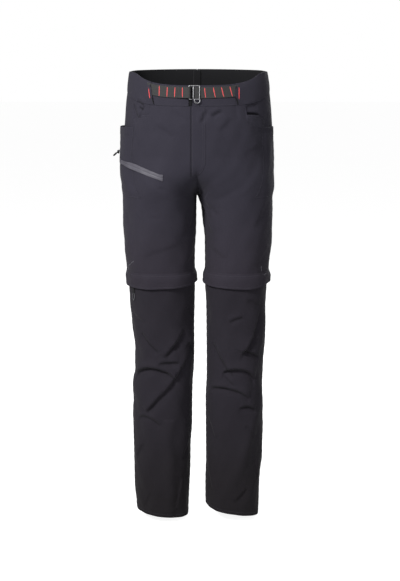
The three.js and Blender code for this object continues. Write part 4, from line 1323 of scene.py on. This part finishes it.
WAISTBAND_WALL = 2
WAISTBAND_HEIGHT = 45
TUNNEL = 2
TUNNEL_EDGE = 0.55  # wall of the tunnel's cloth at its sewn edges
TUNNEL_SWELL = {"sewn": 0.1, "round": 0.6, "slot": 1.5, "reach": 16}
SLOT_TURN = {"right": 36.4, "left": 27.6}
SLOT_EDGE = {
    "right": table("share turn", (0, 37.4), (0.1, 37), (0.85, 33), (1, 32)),
    "left": table("share turn", (0, 28.4), (0.1, 28), (0.5, 26.8), (1, 28.8)),
}
# Dark strip over the belt at each slot, painted shade: its width, wall, rounding and the shares of the
# waistband it spans
SLOT_SHADE_STRIP = {"width": 3, "wall": 0.8, "rim": 0.9, "share": (0.06, 0.97)}
FLY_LAP = -12
FLY_TURN = 4.5
FLY = {"width": 32, "top": -54, "bottom": -211, "curve": 36, "bend": 0.96}
FLY_WALL = {"open": 1.4, "sewn": 0.4}
FLY_LIFT = {"open": 0.5, "sewn": 0.08}
BELT = {"height": 25, "wall": 1.6, "below_rim": 4, "lift": 0.5, "hidden": 9}
BELT_FOLD = {"length": 24, "gap": 0.5}  # the right webbing's end, folded back and sewn
BUCKLE = {"wire": 1.1, "left": -17.5, "middle": -8, "right": 6, "tip": -11.5, "corner": 1.5}
BUCKLE_HEIGHTS = {"top": -8.6, "bottom": -38.8, "loop": 6.3}
BUCKLE_GAP = 0.75
BUCKLE_LIFT = BELT["lift"] + BELT["wall"] + BUCKLE_GAP + BUCKLE["wire"]


def waist_place(turn, share, creased=True):
    """Place on the waistband at a turn round the waist, negative on the wearer's right, and
    a share of the way from its rim to its seam."""
    side = "right" if np.mean(turn) < 0 else "left"
    angle = np.abs(turn) * 2
    rim = smooth_value(WAIST, "turn", "rim", np.abs(turn))
    height = rim + (waist_seam(angle) - rim) * share
    return surface(side, angle, height, creased), cloth_uv(angle, height)


def waistband(name, node, start, end):
    """Doubled cloth between two turns, lined inside."""
    length = abs(end - start) * 2 * ARC
    gap = SEAM / ARC / 2 * np.sign(end - start)
    turn = start + gap + (end - start - 2 * gap) * piece_shares(length)
    share = piece_shares(WAISTBAND_HEIGHT)[:, None]
    place, uvs = waist_place(turn + 0 * share, share)
    wall = WAISTBAND_WALL
    piece = shell(name, place, THIGH_CLOTH, uvs, wall, -wall, lining=LINING_CLOTH)
    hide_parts(node)


def slot_turn(side, share):
    """Turn of a belt slot's edge at a share of the way down the waistband."""
    return smooth_value(SLOT_EDGE[side], "share", "turn", share)


def tunnel_cover(side):
    """Outer cloth of the belt's tunnel, sewn flat along its two edges and swelling between
    them, most of all at the slot where the belt goes in."""
    share = piece_shares(WAISTBAND_HEIGHT)[:, None]
    start = slot_turn(side, share)
    length = (180 - SLOT_TURN[side]) * 2 * ARC
    turn = (start + (179.94 - start) * piece_shares(length)) * DIRECTION[side]
    place, uvs = waist_place(turn, share)
    swell = smoothstep(0, 0.28, share) * smoothstep(1, 0.62, share)
    beyond = (np.abs(turn) - start) * 2 * ARC
    at_slot = TUNNEL_SWELL["slot"] * np.exp(-beyond / TUNNEL_SWELL["reach"])
    lift = TUNNEL_SWELL["sewn"] + swell * (TUNNEL_SWELL["round"] + at_slot)
    loose = smoothstep(0.0, 0.1, share) * smoothstep(1, 0.9, share) + 0 * turn
    wall = TUNNEL_EDGE + (CLOTH - TUNNEL_EDGE) * loose
    piece = shell(f"belt_tunnel_{side}", place, THIGH_CLOTH, uvs, wall, lift)
    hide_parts(f"waistband_{side}")


def slot_shade_strip(side):
    """Painted shade: a dark strip of lining cloth along a belt slot's edge, over the belt, where the
    slot's shade falls.
    """
    share = np.linspace(*SLOT_SHADE_STRIP["share"], 26)[:, None]
    aside = np.linspace(-0.5, 0.5, 9)[None, :] * SLOT_SHADE_STRIP["width"] / (2 * ARC)
    turn = (slot_turn(side, share) + 0.4 + aside) * DIRECTION[side]
    place, uvs = waist_place(turn, share)
    over = smoothstep(0.02, 0.24, share) * smoothstep(0.98, 0.72, share)
    lift = 0.5 + 1.7 * over + 0 * turn
    wall, rim = SLOT_SHADE_STRIP["wall"], SLOT_SHADE_STRIP["rim"]
    piece = shell(f"slot_edge_{side}", place, LINING_CLOTH, uvs, wall, lift, rim=rim)


def waistbands():
    """The two flat front parts, the sides and back, and the tunnel over them."""
    for side in SIDES:
        slot = SLOT_TURN[side] * DIRECTION[side]
        waistband(f"waist_side_{side}", f"waistband_{side}", slot, 180 * DIRECTION[side])
        waistband(f"waist_front_{side}", f"waistband_front_{side}", -FLY_TURN, slot)
        tunnel_cover(side)
        slot_shade_strip(side)


def fly_placket():
    """Lap over the fly, straight on its open edge and curved where its stitching ends. It
    thins from the open edge to its sewn edge."""
    level = piece_shares(FLY["top"] - FLY["bottom"], 2.4)[:, None]
    height = FLY["top"] + (FLY["bottom"] - FLY["top"]) * level
    low = np.clip(1 - (height - FLY["bottom"]) / FLY["curve"], 0, 1)
    share = piece_shares(FLY["width"], 2)[None, :]
    x = FLY_LAP + FLY["width"] * np.sqrt(1 - low**2 * FLY["bend"]) * share
    height = height + 0 * x
    wall = FLY_WALL["open"] + (FLY_WALL["sewn"] - FLY_WALL["open"]) * smoothstep(0.2, 1, share)
    lift = FLY_LIFT["open"] + (FLY_LIFT["sewn"] - FLY_LIFT["open"]) * smoothstep(0.1, 0.9, share)
    wall, lift = wall + 0 * x, lift + 0 * x
    uvs = np.stack([x, height], axis=-1)
    piece = shell("fly_lap", front_surface(x, height), THIGH_CLOTH, uvs, wall, lift, rim=1)
    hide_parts("fly_placket")


def belt_place(x, out, share):
    """Place at a distance from the centre and out of the waistband, and a share of the way
    down the belt, with the belt's directions out and along."""
    height_at = BUCKLE_HEIGHTS["top"]
    turn = np.where(x < 0, angle_at("right", x, height_at), angle_at("left", x, height_at)) / 2
    top = smooth_value(WAIST, "turn", "rim", turn) - BELT["below_rim"]
    height = top - BELT["height"] * share
    point, normal = front_surface(x, height)
    ahead, _ = front_surface(x + 0.5, height)
    behind, _ = front_surface(x - 0.5, height)
    return point + normal * np.asarray(out)[..., None], normal, unit(ahead - behind)


def webbing(name, node, path):
    """A band of webbing along a path of distances and lifts. Its outer side is the lift's
    direction turned with the path, and its edges are rounded."""
    path = np.array(path, float)
    along = unit(np.gradient(path, axis=0))
    share = piece_shares(BELT["height"], 1.6)[:, None]
    x, out = path[:, 0] + 0 * share, path[:, 1] + 0 * share
    point, normal, tangent = belt_place(x, out, share)
    facing = normal * along[:, 0][None, :, None] - tangent * along[:, 1][None, :, None]
    travelled = np.concatenate([[0], np.cumsum(np.linalg.norm(np.diff(path, axis=0), axis=1))])
    uvs = np.stack([travelled + 0 * share, BELT["height"] * share + 0 * x], axis=-1)
    wall = BELT["wall"]
    piece = shell(name, (point, unit(facing)), WEBBING, uvs, wall, -wall / 2, rim=0.7)
    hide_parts(node)


def belt_right():
    """Out of its tunnel, round the hook's left bar and back onto itself, where it is sewn."""
    rest = BELT["lift"] + BELT["wall"] / 2
    radius = BUCKLE_LIFT - rest
    slot = float(waist_place(np.array(-SLOT_TURN["right"]), 0.4, creased=False)[0][0][0])
    bar = BUCKLE["left"]
    path = [(x, rest) for x in np.linspace(slot - BELT["hidden"], bar, 46)]
    for turn in np.linspace(-70, 90, 17):
        path.append((bar + radius * cosine(turn), BUCKLE_LIFT + radius * sine(turn)))
    doubled = rest + BELT["wall"] + BELT_FOLD["gap"]
    for share in np.linspace(0, 1, 16)[1:]:
        drop = (BUCKLE_LIFT + radius - doubled) * smoothstep(0, 0.6, share)
        path.append((bar - BELT_FOLD["length"] * share, BUCKLE_LIFT + radius - drop))
    webbing("belt_webbing_right", "belt_right", path)


def belt_left():
    """Out of its tunnel and behind the hook's right bar to the middle bar."""
    rest = BELT["lift"] + BELT["wall"] / 2
    slot = float(waist_place(np.array(SLOT_TURN["left"]), 0.4, creased=False)[0][0][0])
    end = BUCKLE["middle"] - 2.5
    path = [(x, rest) for x in np.linspace(slot + BELT["hidden"], end, 46)]
    webbing("belt_webbing_left", "belt_left", path)


# Red bars woven across the belt: distance from the centre at the top and at the bottom
BELT_BARS = table(
    "top bottom",
    (-84, -84.4), (-66, -67), (-48.8, -50), (-32, -32.2),
    (17, 19.6), (36.5, 41.5), (54.5, 60.5), (73.5, 79.5),
)
BELT_BAR = {"width": 2, "height": 0.5, "inset": 0.8, "sunk": 0.15}

# Red bar tacks beside the belt's slots: angle and height of the two ends
SLOT_TACKS = {"right": (78, -13.2, 73.6, -36), "left": (61.6, -13, 60.2, -38)}
TACK = {"width": 2.2, "overlap": 0.6, "thread": 0.7, "count": 64, "lift": 0.2, "swell": 0.9}


def belt_bars():
    """Raised bars of red yarn: a strip across the belt whose lift is a half sine across it."""
    share = np.linspace(0, 1, 22)[:, None]
    aside = np.linspace(-0.5, 0.5, 7)[None, :]
    parts = []
    for top, bottom in zip(BELT_BARS["top"], BELT_BARS["bottom"]):
        inset = BELT_BAR["inset"] / BELT["height"]
        down = inset + (1 - 2 * inset) * share
        x = top + (bottom - top) * share + BELT_BAR["width"] * aside
        doubled = (x > BUCKLE["left"] - BELT_FOLD["length"]) & (x < 0)
        rest = BELT["lift"] + BELT["wall"] + (BELT["wall"] + BELT_FOLD["gap"]) * doubled
        faded = np.sqrt(np.sin(np.pi * share)).clip(0, 1)
        swell = BELT_BAR["height"] * np.cos(np.pi * aside) * faded
        point, _, _ = belt_place(x, rest + swell - BELT_BAR["sunk"], down + 0 * x)
        index = np.arange(x.size).reshape(x.shape)
        parts.append((point.reshape(-1, 3), grid_faces(index)))
    piece = add_piece("belt_red_bars", *together(parts), RED_THREAD)


def round_wire(points, radius, count, section=14):
    """Tube along a smooth curve through flat points, given as x and height."""
    knots = np.array([(x, 0, z) for x, z in points], float)
    return tube(smooth_path(knots, count), radius, (0, 1, 0), section)


def hook_buckle():
    """Bent wire hook with a middle bar and a half-round loop under it, tilted with the
    waistband and set on the belt."""
    left, middle, right, tip, corner, radius = (
        BUCKLE[name] for name in ("left", "middle", "right", "tip", "corner", "wire")
    )
    top, bottom, loop = (BUCKLE_HEIGHTS[name] for name in ("top", "bottom", "loop"))
    hook = round_wire(
        [(tip, bottom - 0.4), (left + corner, bottom - 0.2), (left + 0.4, bottom + 0.8),
         (left, bottom + corner + 1), (left, bottom + corner + 4), (left, top - corner - 4),
         (left, top - corner - 1), (left + 0.6, top - 0.8), (left + corner + 1, top),
         (right - corner - 1, top), (right - 0.6, top - 0.8), (right, top - corner - 1),
         (right, bottom + corner + 1), (right - 0.6, bottom + 0.8), (right - corner - 1, bottom),
         (middle + 1, bottom)],
        radius, 160,
    )
    bar = round_wire([(middle, top), (middle, (top + bottom) / 2), (middle, bottom)], radius * 0.95, 40)
    centre = (middle + 2.5 + right + 1) / 2
    arc = [
        (centre + loop * cosine(turn), bottom - 2.4 + loop * sine(turn))
        for turn in np.linspace(180, 360, 9)
    ]
    ends = (centre - loop, bottom), (centre + loop - 1, bottom + 0.4)
    ring = round_wire([ends[0], *arc, ends[1]], radius * 0.9, 60)
    points, faces = together([hook, bar, ring])
    height = (top + bottom) / 2
    place, normal = front_surface(0.2, height)
    up = np.array([0, -normal[2], normal[1]]) * np.sign(normal[1])
    up = -up if up[2] < 0 else up
    origin = place + normal * BUCKLE_LIFT
    origin[0] = 0
    flat = points - (0, 0, height)
    forward = np.array([0, normal[1], normal[2]])
    points = origin + flat[:, :1] * (1, 0, 0) + flat[:, 2:] * unit(up) - flat[:, 1:2] * unit(forward)
    piece = add_piece("hook_buckle", points, faces, METAL)
    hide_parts("buckle")


# Sewing

STITCH = {"pitch": 3, "length": 2.35, "width": 0.55, "height": 0.5}
STITCH_SHAPE = np.array(
    [(-1, 0, -0.5), (-0.6, -1, 0), (-0.6, 0, 1), (-0.6, 1, 0), (-0.6, 0, -1), (0.6, -1, 0), (0.6, 0, 1),
     (0.6, 1, 0), (0.6, 0, -1), (1, 0, -0.5)]
)
STITCH_FACES = np.array(
    [(0, 1, 2, 2), (0, 2, 3, 3), (0, 3, 4, 4), (0, 4, 1, 1), (1, 5, 6, 2), (2, 6, 7, 3), (3, 7, 8, 4),
     (4, 8, 5, 1), (9, 6, 5, 5), (9, 7, 6, 6), (9, 8, 7, 7), (9, 5, 8, 8)]
)


def lozenges(centre, along, out, size):
    """Pointed lozenges of thread with the given length, width and height."""
    shape = STITCH_SHAPE * (np.array(size) / 2)
    return copies(shape, STITCH_FACES, centre, along, np.cross(out, along), out)


def stitches(point, normal, lift=0.1, pitch=STITCH["pitch"], size=1):
    """Stitches along a row of places: lozenges of thread, evenly spaced along it."""
    travelled = np.concatenate([[0], np.cumsum(np.linalg.norm(np.diff(point, axis=0), axis=1))])
    centres = np.arange(pitch / 2, travelled[-1], pitch)

    def at(distance, values):
        return np.stack([np.interp(distance, travelled, values[:, axis]) for axis in range(3)], axis=-1)

    middle, out = at(centres, point), unit(at(centres, normal))
    along = unit(at(centres + 0.5, point) - at(centres - 0.5, point))
    thread_size = (STITCH["length"], STITCH["width"] * size, STITCH["height"] * size)
    return lozenges(middle + out * lift, along, out, thread_size)


def add_sewing(name, rows, material=DARK_THREAD):
    piece = add_piece(name, *together(rows), material)


def leg_row(side, angle, height, lift=0.0, **options):
    """Stitches over the surface along arrays of angles and heights."""
    angle, height = np.broadcast_arrays(np.asarray(angle, float), np.asarray(height, float))
    point, normal = surface(side, angle, height)
    lift = np.broadcast_to(lift, angle.shape)
    return stitches(point + normal * lift[:, None], normal, **options)


# Two rows beside the side, inner and centre back seams: angles, start, end and points
SEAM_ROWS = (
    ((182, 185.5), -272, -437, 60),
    ((358, 355), -264, -437, 60),
    ((358.5, 355.5), -20, -258, 70),
)
MOUTH_ROWS = (2, 7)  # below the pocket's mouth
FLAP_ROWS = (-443.5, -470)
PATCH_INSET = 1.6


def thigh_sewing(side):
    """Rows on the thigh: side and inner seams, pocket mouth, side pocket and knee flap."""
    around = np.linspace(0, 360, 200)
    mouth = np.linspace(75, 176, 60)
    reach, top, bottom = (SIDE_POCKET[name] for name in ("reach", "top", "bottom"))
    rows = []
    for angles, start, end, count in SEAM_ROWS:
        rows += [leg_row(side, angle, np.linspace(start, end, count)) for angle in angles]
    for inset in MOUTH_ROWS:
        height = pocket_mouth(mouth) - inset
        rows.append(leg_row(side, mouth, height, mouth_lift(side, mouth, height)))
    for height in FLAP_ROWS:
        lift = flap_profile("lift", height) + flap_profile("wall", height)
        swell = smoothstep(-440, -454, height) * flap_swell(side, around)
        edge = flap_edge(side, around) * smoothstep(-448, -474, height)
        rows.append(leg_row(side, around, height + edge, lift + swell))
    patch = np.linspace(top - 2, bottom + 2, 50)
    edges = (180 - reach + PATCH_INSET, 180 + reach - PATCH_INSET)
    rows += [pocket_row(side, edge, patch) for edge in edges]
    level = np.linspace(*edges, 60)
    rows += [pocket_row(side, level, height) for height in (top - SIDE_POCKET["hem"], bottom + 2.2)]
    add_sewing(f"thigh_stitching_{side}", rows)


def pocket_row(side, angle, height):
    """Stitches on the outer face of a side pocket."""
    lift, left = pocket_inner(side, angle, height)
    return leg_row(side, angle, height, lift + CLOTH * left)


def lower_sewing(side):
    """Rows on the lower leg: both seams, the zip's edge and the hem."""
    around = np.linspace(0, 360, 180)
    rows = [
        leg_row(side, angle, np.linspace(-478, float(hem_height(side, angle)) + 10, 190))
        for angle in (182, 185.5, 358, 355)
    ]
    rows.append(leg_row(side, around, KNEE_ZIP_END - 3))
    rows.append(leg_row(side, around, hem_height(side, around) + 8))
    add_sewing(f"lower_leg_stitching_{side}", rows)


# Thread coloured light at the knees' outer sides as painted highlight on the seams: angle and height
# along each row
KNEE_SEAM_HIGHLIGHTS = {
    "right": [table("angle height", (131, -410), (152, -427), (165, -444), (176, -462))],
    "left": [
        table("angle height", (133, -423), (134, -435)),
        table("angle height", (148, -441), (141, -446)),
    ],
}


def knee_seam_highlights(side):
    """Short rows of stitches over the thigh and onto the knee flap, coloured light as painted highlight
    on the seams.
    """
    rows = []
    for mark in KNEE_SEAM_HIGHLIGHTS[side]:
        knot = np.linspace(0, 1, len(mark["angle"]))
        share = np.linspace(0, 1, 30)
        angle, height = (np.interp(share, knot, mark[name]) for name in ("angle", "height"))
        over = smoothstep(-437, -441, height)
        lift = over * (flap_profile("lift", height) + flap_profile("wall", height))
        rows.append(leg_row(side, angle, height, lift, pitch=2.4, size=1.5))
    add_sewing(f"knee_highlight_thread_{side}", rows, material=HIGHLIGHT_THREAD)


# Seen edge of the stitching that holds the fly's facing
FLY_STITCHING = table(
    "x height",
    (15, -58), (18, -110), (18.6, -150), (17.4, -180), (13, -196), (3, -206), (-8.5, -210),
)


def waist_sewing():
    """Rows on the waistband and the fly."""
    rows = []
    for side in SIDES:
        turn = np.linspace(SLOT_TURN[side] + 3, 179, 200) * DIRECTION[side]
        for share in (0.05, 0.95):
            (point, normal), _ = waist_place(turn, share)
            rows.append(stitches(point, normal, 0.2))
        front = np.linspace(-FLY_TURN, SLOT_TURN[side] * DIRECTION[side], 60)
        for share in (0.05, 0.95):
            point, normal = np.empty((60, 3)), np.empty((60, 3))
            for part in (front < 0, front >= 0):
                if part.any():
                    (point[part], normal[part]), _ = waist_place(front[part], share)
            rows.append(stitches(point, normal, 0.1))
    x, height = FLY_STITCHING["x"], FLY_STITCHING["height"]
    for shift, lift in ((0, 0.6), (5.5, 0.75)):
        curve = smooth_path(np.stack([x - shift, 0 * x, height + shift * 0.6], axis=-1), 90)
        point, normal = front_surface(curve[:, 0], curve[:, 2])
        rows.append(stitches(point, normal, lift))
    edge = np.linspace(-57, -206, 60)
    point, normal = front_surface(np.full(60, FLY_LAP + 2.4), edge)
    rows.append(stitches(point, normal, 1.95))
    add_sewing("waist_stitching", rows)


def slot_tacks():
    """Red bar tacks beside the belt's slots: close zigzag stitches between two ends."""
    rows = []
    for side in SIDES:
        start, top, end, bottom = SLOT_TACKS[side]
        count, thread_width = TACK["count"], TACK["thread"]
        share = np.linspace(0, 1, count)
        zigzag = np.where(np.arange(count) % 2 == 0, -0.5, 0.5) * TACK["width"] / ARC
        angle = start + (end - start) * share + zigzag
        point, normal = surface(side, angle, top + (bottom - top) * share)
        centre = (point[1:] + point[:-1]) / 2
        along = unit(point[1:] - point[:-1])
        out = normal[1:]
        middle = np.exp(-(((np.arange(count - 1) / count - 0.5) / 0.3) ** 2))
        lift = (TUNNEL + TACK["lift"] + TACK["swell"] * middle)[:, None]
        size = (TACK["width"] + TACK["overlap"], thread_width, thread_width)
        rows.append(lozenges(centre + out * lift, along, out, size))
    add_sewing("slot_bar_tacks", rows, RED_THREAD)


# Making the pieces

for side in SIDES:
    front_panel(side)
    back_panel(side)
    pocket_facing(side)
    side_pocket(side)
    knee_zip(side)
    knee_flap(side)
    lower_leg(side, 0)
    lower_leg(side, 180)
    thigh_sewing(side)
    lower_sewing(side)
    knee_seam_highlights(side)
seam_allowances()
waistbands()
waist_backings()
fly_placket()
belt_right()
belt_left()
belt_bars()
slot_tacks()
hook_buckle()
thigh_zip_tape()
thigh_zip_slider()
thigh_zip_pull()
knee_zip_pull()
waist_sewing()

# Stage, light and camera

STUDIO = {"floor": -1.0662, "half": 60.0}


def studio_floor():
    mesh = bpy.data.meshes.new("studio_floor")
    half = STUDIO["half"]
    signs = ((-1, -1), (1, -1), (1, 1), (-1, 1))
    mesh.from_pydata([(x * half, y * half, STUDIO["floor"]) for x, y in signs], [], [(0, 1, 2, 3)])
    mesh.materials.append(FLOOR)
    floor = bpy.data.objects.new("studio_floor", mesh)
    bpy.context.scene.collection.objects.link(floor)


def soft_light(name, place, target, size, power):
    """Square area light aimed at a point."""
    light = bpy.data.lights.new(name, "AREA")
    light.size = size
    light.energy = power
    lamp = bpy.data.objects.new(name, light)
    lamp.location = place
    lamp.rotation_euler = (Vector(target) - Vector(place)).to_track_quat("-Z", "Y").to_euler()
    bpy.context.scene.collection.objects.link(lamp)


def studio_world(seen, lit):
    """White surroundings: one strength where they are seen and another as light."""
    world = bpy.data.worlds.new("studio")
    world.use_nodes = True
    tree = world.node_tree
    background = tree.nodes["Background"]
    background.inputs["Color"].default_value = (1, 1, 1, 1)
    path = tree.nodes.new("ShaderNodeLightPath")
    strength = place_node(tree, "ShaderNodeMapRange", [path.outputs["Is Camera Ray"], 0, 1, lit, seen])
    tree.links.new(strength.outputs[0], background.inputs["Strength"])
    bpy.context.scene.world = world


# The camera stands level with the waist and looks down. Its focal length is in pixels.
CAMERA = {"place": (0.007, -2.65, 0.0), "pitch": 10.58, "focal": 1116, "picture_height": 581}


def camera():
    data = bpy.data.cameras.new("camera")
    data.sensor_width = 36
    data.lens = 36 * CAMERA["focal"] / CAMERA["picture_height"]
    eye = bpy.data.objects.new("camera", data)
    eye.location = CAMERA["place"]
    eye.rotation_euler = (np.radians(90 - CAMERA["pitch"]), 0, 0)
    bpy.context.scene.collection.objects.link(eye)
    bpy.context.scene.camera = eye


studio_floor()
studio_world(seen=1.0, lit=0.18)
soft_light("key", (-1.9, -2.2, 1.7), (0, 0, -0.7), 0.7, 134)
soft_light("fill", (1.6, -2.8, 0.7), (0, 0, -0.25), 1.6, 27)
soft_light("overhead", (-0.3, -0.6, 2.6), (0, 0, -1), 2.5, 16)
soft_light("behind", (1.2, 2.8, 1.4), (0, 0, -0.5), 2.0, 70)
bpy.context.scene.view_settings.view_transform = "Standard"
camera()
